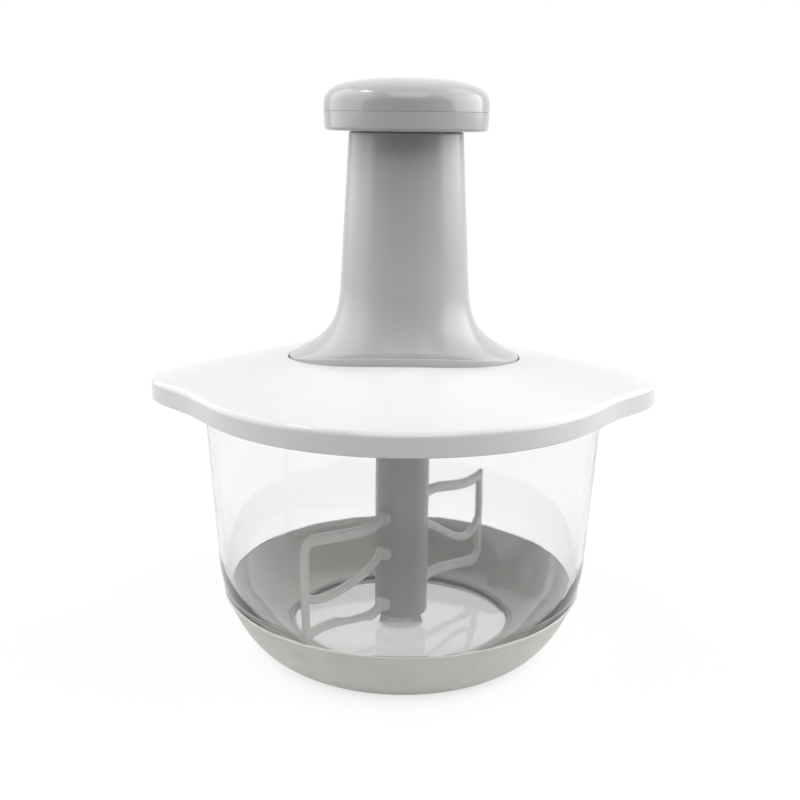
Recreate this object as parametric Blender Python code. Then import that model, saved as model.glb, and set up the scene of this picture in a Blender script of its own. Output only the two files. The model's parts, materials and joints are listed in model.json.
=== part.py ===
"""Press-down food chopper with a clear bowl, whisk paddles and a spiral drive.

The origin is on the table under the bowl's centre, +Z is up, the lid's ears point along X and
the front faces -Y. All lengths are in metres. The knob is modelled pressed fully down.
"""

import math

import bmesh
import bpy
from mathutils import Matrix, Vector

# Clearances
FIT = 0.0003
SHAFT_LIFT = 0.0005
SHAFT_HEAD_GAP = 0.0013
HEX_CLEARANCE = 0.0003
ROD_CLEARANCE = 0.0003
BOWL_LID_GAP = 0.0005
SEAL_CLEARANCE = 0.0003
STOP_MARGIN = 0.0010

# Facets of a full turn, by how large the piece is
FACETS_BOWL = 48
FACETS_COLUMN = 40
FACETS_SHAFT = 30
FACETS_TUBE = 28
FACETS_SMALL = 16
FACETS_BOSS = 12
FACETS_SCREW = 8
LID_STEPS = 14
LID_CROWDING = 1.3
BOWL_STEPS = 6
SHARP_ANGLE = math.radians(32)

# Bowl: a tapered wall down to the waist, then a superellipse to the flat base
BOWL_RIM_Z = 0.1015
BOWL_RIM_RADIUS = 0.0765
BOWL_WAIST_Z = 0.0385
BOWL_WAIST_RADIUS = 0.0726
BOWL_FLAT_RADIUS = 0.0465
BOWL_CORNER_POWER = 1.75
BOWL_BASE_Z = 0.0030
BOWL_WALL = 0.00205
BOWL_FLOOR = 0.0022
FOOT_DISC_RADIUS = 0.0452
FOOT_DISC_DROP = 0.0018
FLOOR_STEP_WIDTH = 0.0010
BOSS_RADIUS = 0.0088
BOSS_TAPER = 0.0008
BOSS_HEIGHT = 0.0064

# Soft grip round the bottom of the bowl
GRIP_TOP_Z = 0.024
GRIP_SOLE_WIDTH = 0.0033
GRIP_LIP = 0.0007
GRIP_LIP_HEIGHT = 0.0045
GRIP_SOLE_CUT = 0.0006

# Pivot and beater shaft
PIN_RADIUS = 0.0030
PIN_SEAT_DEPTH = 0.0056
PIN_TIP = 0.0010
ROD_PIN_GAP = 0.0070
SHAFT_RADIUS = 0.0106
SHAFT_BORE_RADIUS = 0.0070
BUSH_CAP = 0.0018
HEX_CORNER_RADIUS = 0.0082
HEX_ENGAGEMENT = 0.010

# Whisk paddles: each is a hoop of two arms and a bar, with a middle arm, in one plane through
# the axis. The right paddle's hoop is the left one's turned over. Arms follow cubic curves, with
# heights at the root, two handles and the tip, and the handles' shares of the way out.
PADDLE_ANGLE = math.radians(50.9)
LEFT_PADDLE_REACH = 0.0553
RIGHT_PADDLE_REACH = 0.0537
HOOP_MIDDLE_Z = 0.0350
ARM_HEIGHT = 0.0040
MIDDLE_ARM_HEIGHT = 0.0030
BAR_WIDTH = 0.0026
PADDLE_THICKNESS = 0.0024
PADDLE_CORNER = 0.0045
PADDLE_HEEL = 0.0008
PADDLE_STUB = 0.0030
PADDLE_CORNER_STEPS = 4
ARM_STEPS = 8
SLOT_DEPTH = 0.0023
TOP_ARM_HEIGHTS = (0.0520, 0.0478, 0.0525, 0.0546)
TOP_ARM_SHARES = (0.135, 0.59)
BOTTOM_ARM_HEIGHTS = (0.0158, 0.0095, 0.0196, 0.0166)
BOTTOM_ARM_SHARES = (0.16, 0.60)
LEFT_MIDDLE_HEIGHTS = (0.0375, 0.0310, 0.0265, 0.0335)
LEFT_MIDDLE_SHARES = (0.165, 0.825)
RIGHT_MIDDLE_HEIGHTS = (0.0425, 0.0410, 0.0180, 0.0340)
RIGHT_MIDDLE_SHARES = (0.285, 0.76)

# Lid: a round outline with two blunt ears, a crown and an oval well
SKIRT_OVERLAP = 0.0034
SKIRT_WALL = 0.0016
BAND_HEIGHT = 0.0080
BAND_ROUNDING = 0.0016
LID_HALF_LENGTH = 0.0975
LID_SIDE_SWELL = 0.0027
EAR_SPREAD = math.radians(14.5)
CROWN_HEIGHT = 0.0091
CROWN_FRONT_RISE = 0.0019
CROWN_POWER = 1.7
CROWN_SHARES = (0.96, 0.8, 0.6, 0.4, 0.2, 0.0)
CROWN_UNDER_SHARES = (0.0, 0.3, 0.6, 0.92)
LID_WALL = 0.0018
WELL_GAP = 0.00045
WELL_DEPTH = 0.0040
DECK_THICKNESS = 0.0022

# Lid liner and seal
LINER_FLANGE = 0.0014
LINER_WALL = 0.0022
PLUG_GAP = 0.00050
PLUG_DEPTH = 0.0042
LINER_PLATE = 0.0018
SEAL_WIDTH = 0.0013
SEAL_HEIGHT = 0.0020
SEAL_LEDGE = 0.0011

# Column and its flared oval foot
COLUMN_TOP_RADIUS = 0.0211
COLUMN_NECK_RADIUS = 0.0244
COLUMN_OVAL = 0.90
COLUMN_WALL = 0.0022
COLUMN_ROOF = 0.0025
FOOT_HALF_LENGTH = 0.0439
FOOT_HALF_DEPTH = 0.0280
FLARE_HEIGHT = 0.0305
LIP_RISE_SIDE = 0.0005
LIP_RISE_FRONT = 0.0028
FLARE_STEPS = 6
SIDE_NECK_HANDLE = (0.0010, 0.0125)
SIDE_LIP_HANDLE = (0.0167, 0.0080)
FRONT_NECK_HANDLE = (0.0006, 0.0080)
FRONT_LIP_HANDLE = (0.0038, 0.0089)
BOSS_SPACING_X = 0.0290
BOSS_SPACING_Y = 0.0090
COLUMN_BOSS_RADIUS = 0.0040
COLUMN_BOSS_HEIGHT = 0.0160

# Plunger
STROKE = 0.060
TUBE_RADIUS = 0.0140
TUBE_WALL = 0.0017
TUBE_FLOAT = 0.0060
TUBE_FLANGE_RADIUS = 0.0180
TUBE_ROOF = 0.0022
STOP_RING_OFFSET = 0.0005
STOP_RING_HEIGHT = 0.0040
STOP_RING_WIDTH = 0.0025
COLLAR_LENGTH = 0.0132

# Knob
KNOB_RADIUS = 0.0303
KNOB_HEIGHT = 0.0186
KNOB_BASE_HEIGHT = 0.0067
KNOB_BASE_TAPER = 0.0004
KNOB_BASE_ROUNDING = 0.0014
KNOB_CAP_BAND = 0.0009
KNOB_SIDE_POWER = 2.6
KNOB_TOP_POWER = 3.3
KNOB_WALL = 0.0022
KNOB_STEPS = 9
KNOB_BASE_STEPS = 3
KNOB_CEILING_SHARES = (0.5, 0.3, 0.12, 0.0)
CLAMP_RING_WIDTH = 0.0025

# Spiral rod and return spring
ROD_SIDE = 0.0060
ROD_LEAD = 0.040
ROD_STEPS_PER_TURN = 16
ROD_MARGIN = 0.0040
ROD_HEAD_RADIUS = 0.0060
ROD_HEAD_LENGTH = 0.010
ROD_HEAD_OVERLAP = 0.0017
ROD_HOLE_MARGIN = 0.0022
SPRING_RADIUS = 0.0098
SPRING_WIRE = 0.0016
SPRING_TURNS = 9
SPRING_POINTS_PER_TURN = 8
SPRING_END_TURNS = 1.0
SPRING_END_PITCH = 0.0022
SPRING_SEAT_HEIGHT = 0.0015

# Drive under the lid's deck
FLANGE_RADIUS = 0.0350
FLANGE_THICKNESS = 0.0023
HOUSING_RADIUS = 0.0200
HOUSING_WALL = 0.0050
COVER_THICKNESS = 0.0022
WASHER_THICKNESS = 0.0007
NUT_RADIUS = 0.0100
NUT_HEIGHT = 0.0061
TOOTH_HEIGHT = 0.0012
TOOTH_COUNT = 12
TOOTH_INNER_RADIUS = 0.0066
TOOTH_DROP_SHARE = 0.12
HUB_FLANGE_RADIUS = 0.0120
HUB_FLANGE = 0.0039
HUB_NECK_RADIUS = 0.0085
HUB_BORE_MARGIN = 0.0009

# Screws
SCREW_RADIUS = 0.0015
SCREW_HEAD_RADIUS = 0.0030
SCREW_HEAD_HEIGHT = 0.0022
COLUMN_SCREW_LENGTH = 0.0120
COVER_SCREW_RADIUS = 0.0010
COVER_SCREW_HEAD_RADIUS = 0.0020
COVER_SCREW_HEAD_HEIGHT = 0.0010
COVER_SCREW_LENGTH = 0.0065
COVER_SCREW_COUNT = 3
ROD_SCREW_LENGTH = 0.0085
SCREW_END_GAP = 0.0005

# Heights that follow, from the table up
disc_floor_z = BOWL_BASE_Z - FOOT_DISC_DROP + BOWL_FLOOR
boss_top_z = disc_floor_z + BOSS_HEIGHT
pin_seat_z = boss_top_z - PIN_SEAT_DEPTH
skirt_low_z = BOWL_RIM_Z - SKIRT_OVERLAP
band_top_z = skirt_low_z + BAND_HEIGHT
deck_top_z = band_top_z + CROWN_HEIGHT - WELL_DEPTH
deck_low_z = deck_top_z - DECK_THICKNESS
liner_low_z = BOWL_RIM_Z + FIT
plug_low_z = BOWL_RIM_Z - PLUG_DEPTH
seal_top_z = BOWL_RIM_Z - SEAL_LEDGE - FIT
seal_low_z = seal_top_z - SEAL_HEIGHT
housing_top_z = deck_low_z - FIT
housing_roof_z = housing_top_z - FLANGE_THICKNESS
upper_washer_z = housing_roof_z - FIT - WASHER_THICKNESS
nut_top_z = upper_washer_z - FIT
nut_low_z = nut_top_z - NUT_HEIGHT
hub_face_z = nut_low_z - FIT
hub_flange_low_z = hub_face_z - HUB_FLANGE
lower_washer_z = hub_flange_low_z - FIT - WASHER_THICKNESS
cover_top_z = lower_washer_z - FIT
cover_low_z = cover_top_z - COVER_THICKNESS
shaft_low_z = boss_top_z + SHAFT_LIFT
shaft_top_z = cover_low_z - SHAFT_HEAD_GAP
hex_low_z = shaft_top_z - HEX_ENGAGEMENT
rod_low_z = nut_low_z - ROD_MARGIN - STROKE
pin_top_z = rod_low_z - ROD_PIN_GAP
column_low_z = deck_top_z + FIT
flare_top_z = column_low_z + FLARE_HEIGHT
tube_low_z = column_low_z + TUBE_FLOAT
stop_ring_low_z = tube_low_z + STOP_RING_OFFSET
stop_ring_top_z = stop_ring_low_z + STOP_RING_HEIGHT
collar_low_z = stop_ring_top_z + STROKE + STOP_MARGIN
collar_top_z = collar_low_z + COLLAR_LENGTH
column_roof_z = collar_top_z + FIT
column_top_z = column_roof_z + COLUMN_ROOF
knob_low_z = column_top_z + FIT
seam_z = knob_low_z + KNOB_BASE_HEIGHT
tube_roof_z = seam_z + FIT
tube_top_z = tube_roof_z + TUBE_ROOF
knob_top_z = knob_low_z + KNOB_HEIGHT
rod_top_z = tube_roof_z - FIT
spring_seat_z = deck_top_z + FIT

# Radii that follow
lid_half_depth = BOWL_RIM_RADIUS + BOWL_LID_GAP + SKIRT_WALL
well_half_length = FOOT_HALF_LENGTH + WELL_GAP
well_half_depth = FOOT_HALF_DEPTH + WELL_GAP
rod_corner_radius = ROD_SIDE / math.sqrt(2)
rod_hole_radius = rod_corner_radius + ROD_HOLE_MARGIN
tube_bore_radius = TUBE_RADIUS - TUBE_WALL
housing_bore_radius = HOUSING_RADIUS - HOUSING_WALL
hub_bore_radius = rod_corner_radius + HUB_BORE_MARGIN
screw_hole_radius = SCREW_RADIUS + FIT
cover_screw_ring = HOUSING_RADIUS - HOUSING_WALL / 2
column_bosses = [(x * BOSS_SPACING_X, y * BOSS_SPACING_Y) for x in (-1, 1) for y in (-1, 1)]
cover_screws = [
    (
        cover_screw_ring * math.cos(math.tau * i / COVER_SCREW_COUNT),
        cover_screw_ring * math.sin(math.tau * i / COVER_SCREW_COUNT),
    )
    for i in range(COVER_SCREW_COUNT)
]

# Finishes: sRGB colour, roughness, metallic, transmission
GREY_PLASTIC = ("B9B9B8", 0.28, 0.0, 0.0)
WHITE_PLASTIC = ("F2F2F1", 0.22, 0.0, 0.0)
CLEAR_PLASTIC = ("F3F5F5", 0.06, 0.0, 0.9)
SOFT_GREY = ("AFAEA8", 0.62, 0.0, 0.0)
PADDLE_GREY = ("B0AFAC", 0.35, 0.0, 0.0)
NATURAL_NYLON = ("E4E0D3", 0.45, 0.0, 0.0)
BLACK_NYLON = ("2B2B2C", 0.50, 0.0, 0.0)
STEEL = ("C9C9C7", 0.28, 1.0, 0.0)


# Finishing and placing


def linear(channel):
    """One sRGB channel, 0 to 255, as linear light."""
    share = channel / 255
    return share / 12.92 if share <= 0.04045 else ((share + 0.055) / 1.055) ** 2.4


def finish(name, look):
    """A Principled material of its own for one piece."""
    colour, roughness, metallic, transmission = look
    material = bpy.data.materials.new(name)
    material.use_nodes = True
    shader = material.node_tree.nodes["Principled BSDF"]
    channels = [linear(int(colour[i : i + 2], 16)) for i in (0, 2, 4)]
    shader.inputs["Base Color"].default_value = (*channels, 1.0)
    shader.inputs["Roughness"].default_value = roughness
    shader.inputs["Metallic"].default_value = metallic
    shader.inputs["Transmission Weight"].default_value = transmission
    return material


def group(name, parent=None):
    """An empty on the vertical axis that carries the pieces that move together."""
    empty = bpy.data.objects.new(name, None)
    bpy.context.collection.objects.link(empty)
    empty.parent = parent
    return empty


def place(name, mesh, look, parent):
    """Links a piece with its material, shaded smooth between its sharp edges."""
    mesh.materials.append(finish(name, look))
    mesh.shade_smooth()
    mesh.set_sharp_from_angle(angle=SHARP_ANGLE)
    piece = bpy.data.objects.new(name, mesh)
    bpy.context.collection.objects.link(piece)
    piece.parent = parent
    return piece


def guide(name, mesh):
    """A solid that only shapes others."""
    piece = bpy.data.objects.new(name, mesh)
    bpy.context.collection.objects.link(piece)
    piece.hide_render = True
    piece.display_type = "WIRE"
    return piece


def combine(piece, other, operation):
    """Cuts, joins or limits a piece by another solid."""
    modifier = piece.modifiers.new(operation.title(), "BOOLEAN")
    modifier.operation = operation
    modifier.solver = "EXACT"
    modifier.object = other


# Meshes


def circle(radius, z, facets, centre=(0.0, 0.0)):
    """A ring of points, or a single point where the radius is nothing."""
    if radius == 0:
        return [Vector((centre[0], centre[1], z))]
    steps = [math.tau * i / facets for i in range(facets)]
    return [
        Vector((centre[0] + radius * math.cos(a), centre[1] + radius * math.sin(a), z))
        for a in steps
    ]


def add_skin(bm, rings, closed):
    """Faces between rings in turn; closed joins the last to the first, else the ends are capped."""
    loops = [[bm.verts.new(point) for point in ring] for ring in rings]
    pairs = list(zip(loops, loops[1:]))
    if closed:
        pairs.append((loops[-1], loops[0]))
    for low, high in pairs:
        count = max(len(low), len(high))
        for i in range(count):
            j = (i + 1) % count
            corners = (
                low[i % len(low)],
                low[j % len(low)],
                high[j % len(high)],
                high[i % len(high)],
            )
            bm.faces.new(list(dict.fromkeys(corners)))
    if not closed:
        for end in (loops[0], loops[-1]):
            if len(end) > 2:
                bm.faces.new(end)


def as_mesh(name, bm):
    """Closes the work on a bmesh, with its faces turned outwards."""
    bmesh.ops.recalc_face_normals(bm, faces=bm.faces)
    mesh = bpy.data.meshes.new(name)
    bm.to_mesh(mesh)
    bm.free()
    return mesh


def mesh_of(name, skins):
    """A mesh from a list of (rings, closed) skins, each a closed body."""
    bm = bmesh.new()
    for rings, closed in skins:
        add_skin(bm, rings, closed)
    return as_mesh(name, bm)


def turned(profile, facets, centre=(0.0, 0.0)):
    """Rings of a turned profile of (radius, z) points."""
    return [circle(radius, z, facets, centre) for radius, z in profile]


def tube_profile(inner, outer, low, high):
    """Rectangular section of a plain ring."""
    return [(inner, low), (outer, low), (outer, high), (inner, high)]


def rods(name, centres, radius, low, high, facets=FACETS_SCREW):
    """Plain round bars at several places, mostly for drilling."""
    skins = [(turned([(radius, low), (radius, high)], facets, c), False) for c in centres]
    return mesh_of(name, skins)


def pan_head_screw(name, shank, head, head_height, length):
    """A pan-head screw along +Z, its head's seat at height nothing and the head below it."""
    rounding = head_height / 3
    profile = [
        (head - rounding, -head_height),
        (head, rounding - head_height),
        (head, 0.0),
        (shank, 0.0),
        (shank, length - shank / 2),
        (shank / 2, length),
    ]
    return mesh_of(name, [(turned(profile, FACETS_SCREW), False)])


def bezier(start, first, second, end, steps):
    """Points along a cubic curve, both ends included."""
    points = []
    for i in range(steps + 1):
        t = i / steps
        u = 1 - t
        weights = (u**3, 3 * u * u * t, 3 * u * t * t, t**3)
        corners = (start, first, second, end)
        points.append(
            tuple(sum(w * p[k] for w, p in zip(weights, corners)) for k in range(len(start)))
        )
    return points


def corner_curve(flat_radius, across, down, high_z, low_z):
    """Points down a superellipse from the bowl's waist to a flat radius, between two heights."""
    power = BOWL_CORNER_POWER
    shares = [min((BOWL_WAIST_Z - z) / down, 1.0) for z in (high_z, low_z)]
    start, stop = (math.asin(share ** (power / 2)) for share in shares)
    points = []
    for i in range(BOWL_STEPS + 1):
        angle = start + (stop - start) * i / BOWL_STEPS
        radius = flat_radius + across * max(math.cos(angle), 0.0) ** (2 / power)
        points.append((radius, BOWL_WAIST_Z - down * math.sin(angle) ** (2 / power)))
    return points


def skin_curve(high_z, low_z):
    """The outline that the bowl's corner and the grip share, flush with each other."""
    flat_radius = BOWL_FLAT_RADIUS + GRIP_SOLE_WIDTH
    across = BOWL_WAIST_RADIUS - flat_radius
    return corner_curve(flat_radius, across, BOWL_WAIST_Z + GRIP_SOLE_CUT, high_z, low_z)


# Bowl, grip and pivot


def bowl_mouth(z):
    """The bowl's narrowest bore from its rim down to a height on its tapered wall."""
    share = (z - BOWL_WAIST_Z) / (BOWL_RIM_Z - BOWL_WAIST_Z)
    radius = BOWL_WAIST_RADIUS + share * (BOWL_RIM_RADIUS - BOWL_WAIST_RADIUS)
    return min(radius, BOWL_RIM_RADIUS) - BOWL_WALL


def plug_radius():
    return bowl_mouth(plug_low_z) - PLUG_GAP


def make_bowl(parent):
    across = BOWL_WAIST_RADIUS - BOWL_FLAT_RADIUS
    down = BOWL_WAIST_Z - BOWL_BASE_Z
    ledge_z = GRIP_TOP_Z + FIT
    under_grip = corner_curve(BOWL_FLAT_RADIUS, across, down, ledge_z, BOWL_BASE_Z)
    inner_floor_z = BOWL_BASE_Z + BOWL_FLOOR
    inner = corner_curve(
        BOWL_FLAT_RADIUS, across - BOWL_WALL, down - BOWL_FLOOR, BOWL_WAIST_Z, inner_floor_z
    )
    disc_low_z = BOWL_BASE_Z - FOOT_DISC_DROP
    hole = PIN_RADIUS + FIT
    profile = [(BOWL_RIM_RADIUS, BOWL_RIM_Z)] + skin_curve(BOWL_WAIST_Z, ledge_z) + under_grip
    profile += [(FOOT_DISC_RADIUS, BOWL_BASE_Z), (FOOT_DISC_RADIUS, disc_low_z), (0, disc_low_z)]
    cavity = [(0, pin_seat_z - FIT), (hole, pin_seat_z - FIT), (hole, boss_top_z)]
    cavity += [(BOSS_RADIUS - BOSS_TAPER, boss_top_z), (BOSS_RADIUS, disc_floor_z)]
    cavity += [(FOOT_DISC_RADIUS - FLOOR_STEP_WIDTH, disc_floor_z)]
    cavity += [(FOOT_DISC_RADIUS, inner_floor_z)] + inner[::-1]
    cavity += [(BOWL_RIM_RADIUS - BOWL_WALL, BOWL_RIM_Z)]
    mesh = mesh_of("bowl", [(turned(cavity + profile, FACETS_BOWL), False)])
    return place("bowl", mesh, CLEAR_PLASTIC, parent)


def make_grip_base(parent):
    across = BOWL_WAIST_RADIUS - BOWL_FLAT_RADIUS + FIT
    down = BOWL_WAIST_Z - BOWL_BASE_Z + FIT
    hole_top_z = BOWL_BASE_Z - FIT
    inner = corner_curve(BOWL_FLAT_RADIUS, across, down, GRIP_TOP_Z, hole_top_z)
    lip_radius = skin_curve(GRIP_TOP_Z, 0)[0][0] + GRIP_LIP
    hole = FOOT_DISC_RADIUS + FIT
    profile = [(lip_radius - GRIP_LIP, GRIP_TOP_Z), (lip_radius, GRIP_TOP_Z - GRIP_LIP)]
    profile += skin_curve(GRIP_TOP_Z - GRIP_LIP_HEIGHT, 0)
    profile += [(hole, 0.0), (hole, hole_top_z)] + inner[::-1]
    mesh = mesh_of("grip_base", [(turned(profile, FACETS_BOWL), True)])
    return place("grip_base", mesh, SOFT_GREY, parent)


def make_pivot_pin(parent):
    profile = [
        (PIN_RADIUS, pin_seat_z),
        (PIN_RADIUS, pin_top_z - PIN_TIP),
        (PIN_RADIUS - PIN_TIP, pin_top_z),
    ]
    mesh = mesh_of("pivot_pin", [(turned(profile, FACETS_SMALL), False)])
    return place("pivot_pin", mesh, STEEL, parent)


# Beater


def hexagon(corner_radius, z, facets):
    """A six-sided ring with as many points as the round rings it joins."""
    points = []
    for i in range(facets):
        angle = math.tau * i / facets
        from_flat = (angle + math.pi / 6) % (math.pi / 3) - math.pi / 6
        from_middle = math.pi / 6 - abs(from_flat)
        radius = corner_radius * math.cos(math.pi / 6) / math.cos(from_middle)
        points.append(Vector((radius * math.cos(angle), radius * math.sin(angle), z)))
    return points


def hoop_height(z, turned_over):
    """A height on a hoop, which may be turned over."""
    return 2 * HOOP_MIDDLE_Z - z if turned_over else z


def paddle_slots():
    """Pockets in the shaft's side that the paddles' arms plug into."""
    bm = bmesh.new()
    floor = SHAFT_RADIUS - SLOT_DEPTH
    mouth = SHAFT_RADIUS + SLOT_DEPTH
    for side, turned_over, middle in (
        (0, True, RIGHT_MIDDLE_HEIGHTS),
        (math.pi, False, LEFT_MIDDLE_HEIGHTS),
    ):
        roots = [(hoop_height(TOP_ARM_HEIGHTS[0], turned_over), ARM_HEIGHT)]
        roots.append((hoop_height(BOTTOM_ARM_HEIGHTS[0], turned_over), ARM_HEIGHT))
        roots.append((middle[0], MIDDLE_ARM_HEIGHT))
        for root_z, height in roots:
            spot = Matrix.Rotation(PADDLE_ANGLE + side, 4, "Z")
            spot = spot @ Matrix.Translation(((floor + mouth) / 2, 0, root_z))
            size = (mouth - floor, PADDLE_THICKNESS + 2 * FIT, height + 2 * FIT)
            bmesh.ops.create_cube(bm, size=1.0, matrix=spot @ Matrix.Diagonal((*size, 1.0)))
    return guide("paddle_slots", as_mesh("paddle_slots", bm))


def make_beater_shaft(parent):
    socket_low_z = hex_low_z - FIT
    socket = HEX_CORNER_RADIUS + HEX_CLEARANCE
    rings = [
        circle(SHAFT_RADIUS, shaft_low_z, FACETS_SHAFT),
        circle(SHAFT_RADIUS, shaft_top_z, FACETS_SHAFT),
        hexagon(socket, shaft_top_z, FACETS_SHAFT),
        hexagon(socket, socket_low_z, FACETS_SHAFT),
        circle(SHAFT_BORE_RADIUS, socket_low_z, FACETS_SHAFT),
        circle(SHAFT_BORE_RADIUS, shaft_low_z, FACETS_SHAFT),
    ]
    shaft = place("beater_shaft", mesh_of("beater_shaft", [(rings, True)]), GREY_PLASTIC, parent)
    combine(shaft, paddle_slots(), "DIFFERENCE")
    return shaft


def make_shaft_bush(parent):
    outer = SHAFT_BORE_RADIUS - FIT
    bore = PIN_RADIUS + FIT
    bore_top_z = pin_top_z + FIT
    profile = [
        (0, bore_top_z),
        (bore, bore_top_z),
        (bore, shaft_low_z),
        (outer, shaft_low_z),
        (outer, bore_top_z + BUSH_CAP),
        (0, bore_top_z + BUSH_CAP),
    ]
    mesh = mesh_of("shaft_bush", [(turned(profile, FACETS_SMALL), False)])
    return place("shaft_bush", mesh, NATURAL_NYLON, parent)


def arm(heights, shares, end):
    """The centre line of an arm from its root in the shaft to its end, as (reach, z) points."""
    stub = SHAFT_RADIUS + PADDLE_STUB
    first, second = (stub + (end - stub) * share for share in shares)
    corners = zip((stub, first, second, end), heights)
    roots = [(SHAFT_RADIUS - SLOT_DEPTH + FIT, heights[0]), (SHAFT_RADIUS + FIT, heights[0])]
    return roots + bezier(*corners, ARM_STEPS)


def flanks(line, widths):
    """Pairs of points on the left and the right of a centre line, a width apart."""
    pairs = []
    points = [Vector(point) for point in line]
    for i, (point, width) in enumerate(zip(points, widths)):
        along = (points[min(i + 1, len(points) - 1)] - points[max(i - 1, 0)]).normalized()
        side = Vector((-along.y, along.x)) * width / 2
        pairs.append((point + side, point - side))
    return pairs


def strip(pairs):
    """Rectangular rings as thick as a paddle through pairs of (reach, z) points."""
    half = PADDLE_THICKNESS / 2
    return [
        [Vector((p.x, y, p.y)) for p, y in ((a, half), (b, half), (b, -half), (a, -half))]
        for a, b in pairs
    ]


def hoop_pairs(reach):
    """Outer and inner points of a hoop: top arm, rounded corner, bar, sharp heel, bottom arm."""
    line = arm(TOP_ARM_HEIGHTS, TOP_ARM_SHARES, reach - PADDLE_CORNER)
    widths = [ARM_HEIGHT] * len(line)
    bend_z = TOP_ARM_HEIGHTS[-1] - PADDLE_CORNER
    for i in range(1, PADDLE_CORNER_STEPS + 1):
        share = i / PADDLE_CORNER_STEPS
        angle = math.pi / 2 * (1 - share)
        radius = PADDLE_CORNER
        line.append((reach - radius + radius * math.cos(angle), bend_z + radius * math.sin(angle)))
        widths.append(ARM_HEIGHT + share * (BAR_WIDTH - ARM_HEIGHT))
    heel_z = BOTTOM_ARM_HEIGHTS[-1]
    line.append((reach, heel_z + ARM_HEIGHT))
    widths.append(BAR_WIDTH)
    back = arm(BOTTOM_ARM_HEIGHTS, BOTTOM_ARM_SHARES, reach - BAR_WIDTH)[::-1]
    outer = Vector((reach + BAR_WIDTH / 2, heel_z - ARM_HEIGHT / 2 - PADDLE_HEEL))
    inner = Vector((reach - BAR_WIDTH / 2, heel_z + ARM_HEIGHT / 2 + BAR_WIDTH / 4))
    return flanks(line, widths) + [(outer, inner)] + flanks(back, [ARM_HEIGHT] * len(back))


def paddle_mesh(reach, turned_over, middle_heights, middle_shares):
    """A paddle along +X: the hoop with the middle arm joined to its bar."""
    pairs = [
        [Vector((point.x, hoop_height(point.y, turned_over))) for point in pair]
        for pair in hoop_pairs(reach)
    ]
    middle = arm(middle_heights, middle_shares, reach - BAR_WIDTH / 4)
    hoop = guide("paddle_hoop", mesh_of("paddle_hoop", [(strip(pairs), False)]))
    rings = strip(flanks(middle, [MIDDLE_ARM_HEIGHT] * len(middle)))
    bar = guide("paddle_middle_arm", mesh_of("paddle_middle_arm", [(rings, False)]))
    combine(hoop, bar, "UNION")
    depsgraph = bpy.context.evaluated_depsgraph_get()
    return bpy.data.meshes.new_from_object(hoop.evaluated_get(depsgraph))


def make_paddles(parent):
    right = paddle_mesh(RIGHT_PADDLE_REACH, True, RIGHT_MIDDLE_HEIGHTS, RIGHT_MIDDLE_SHARES)
    left = paddle_mesh(LEFT_PADDLE_REACH, False, LEFT_MIDDLE_HEIGHTS, LEFT_MIDDLE_SHARES)
    place("whisk_paddle_right", right, PADDLE_GREY, parent).rotation_euler.z = PADDLE_ANGLE
    turned_round = PADDLE_ANGLE + math.pi
    place("whisk_paddle_left", left, PADDLE_GREY, parent).rotation_euler.z = turned_round


# Lid


def lid_angles():
    """Angles round the lid, closer together at the ears, where the outline turns sharply."""
    quarter = [math.pi / 2 * (i / LID_STEPS) ** LID_CROWDING for i in range(LID_STEPS)]
    half = quarter + [math.pi / 2] + [math.pi - a for a in reversed(quarter[1:])]
    return half + [a + math.pi for a in half]


def lid_outline(angle):
    """Distance of the lid's edge from the axis."""
    from_ear = math.asin(min(1.0, abs(math.sin(angle))))
    side = lid_half_depth + LID_SIDE_SWELL * math.cos(angle) ** 2
    ear = LID_HALF_LENGTH - lid_half_depth - LID_SIDE_SWELL
    return side + ear * math.exp(-((from_ear / EAR_SPREAD) ** 2))


def oval(half_length, half_depth, angle):
    """Distance of an ellipse's edge from the axis."""
    across = math.hypot(half_depth * math.cos(angle), half_length * math.sin(angle))
    return half_length * half_depth / across


def crown_z(angle, share):
    """Height of the crown's top, from the well's edge (share 0) to the outline (share 1)."""
    height = CROWN_HEIGHT + CROWN_FRONT_RISE * math.sin(angle) ** 2
    return band_top_z + height * (1 - share**CROWN_POWER)


def lid_ring(radius_at, z_at):
    """A ring over the lid's angles from two rules of the angle."""
    ring = []
    for angle in lid_angles():
        radius = radius_at(angle)
        ring.append(Vector((radius * math.cos(angle), radius * math.sin(angle), z_at(angle))))
    return ring


def crown_ring(share, lower=0.0, well=0.0):
    """A ring of the crown, lowered for its underside, with the well widened by its wall."""

    def radius_at(angle):
        start = oval(well_half_length + well, well_half_depth + well, angle)
        return start + share * (lid_outline(angle) - start)

    def z_at(angle):
        start = oval(well_half_length, well_half_depth, angle)
        reached = (radius_at(angle) - start) / (lid_outline(angle) - start)
        return crown_z(angle, reached) - lower

    return lid_ring(radius_at, z_at)


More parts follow.
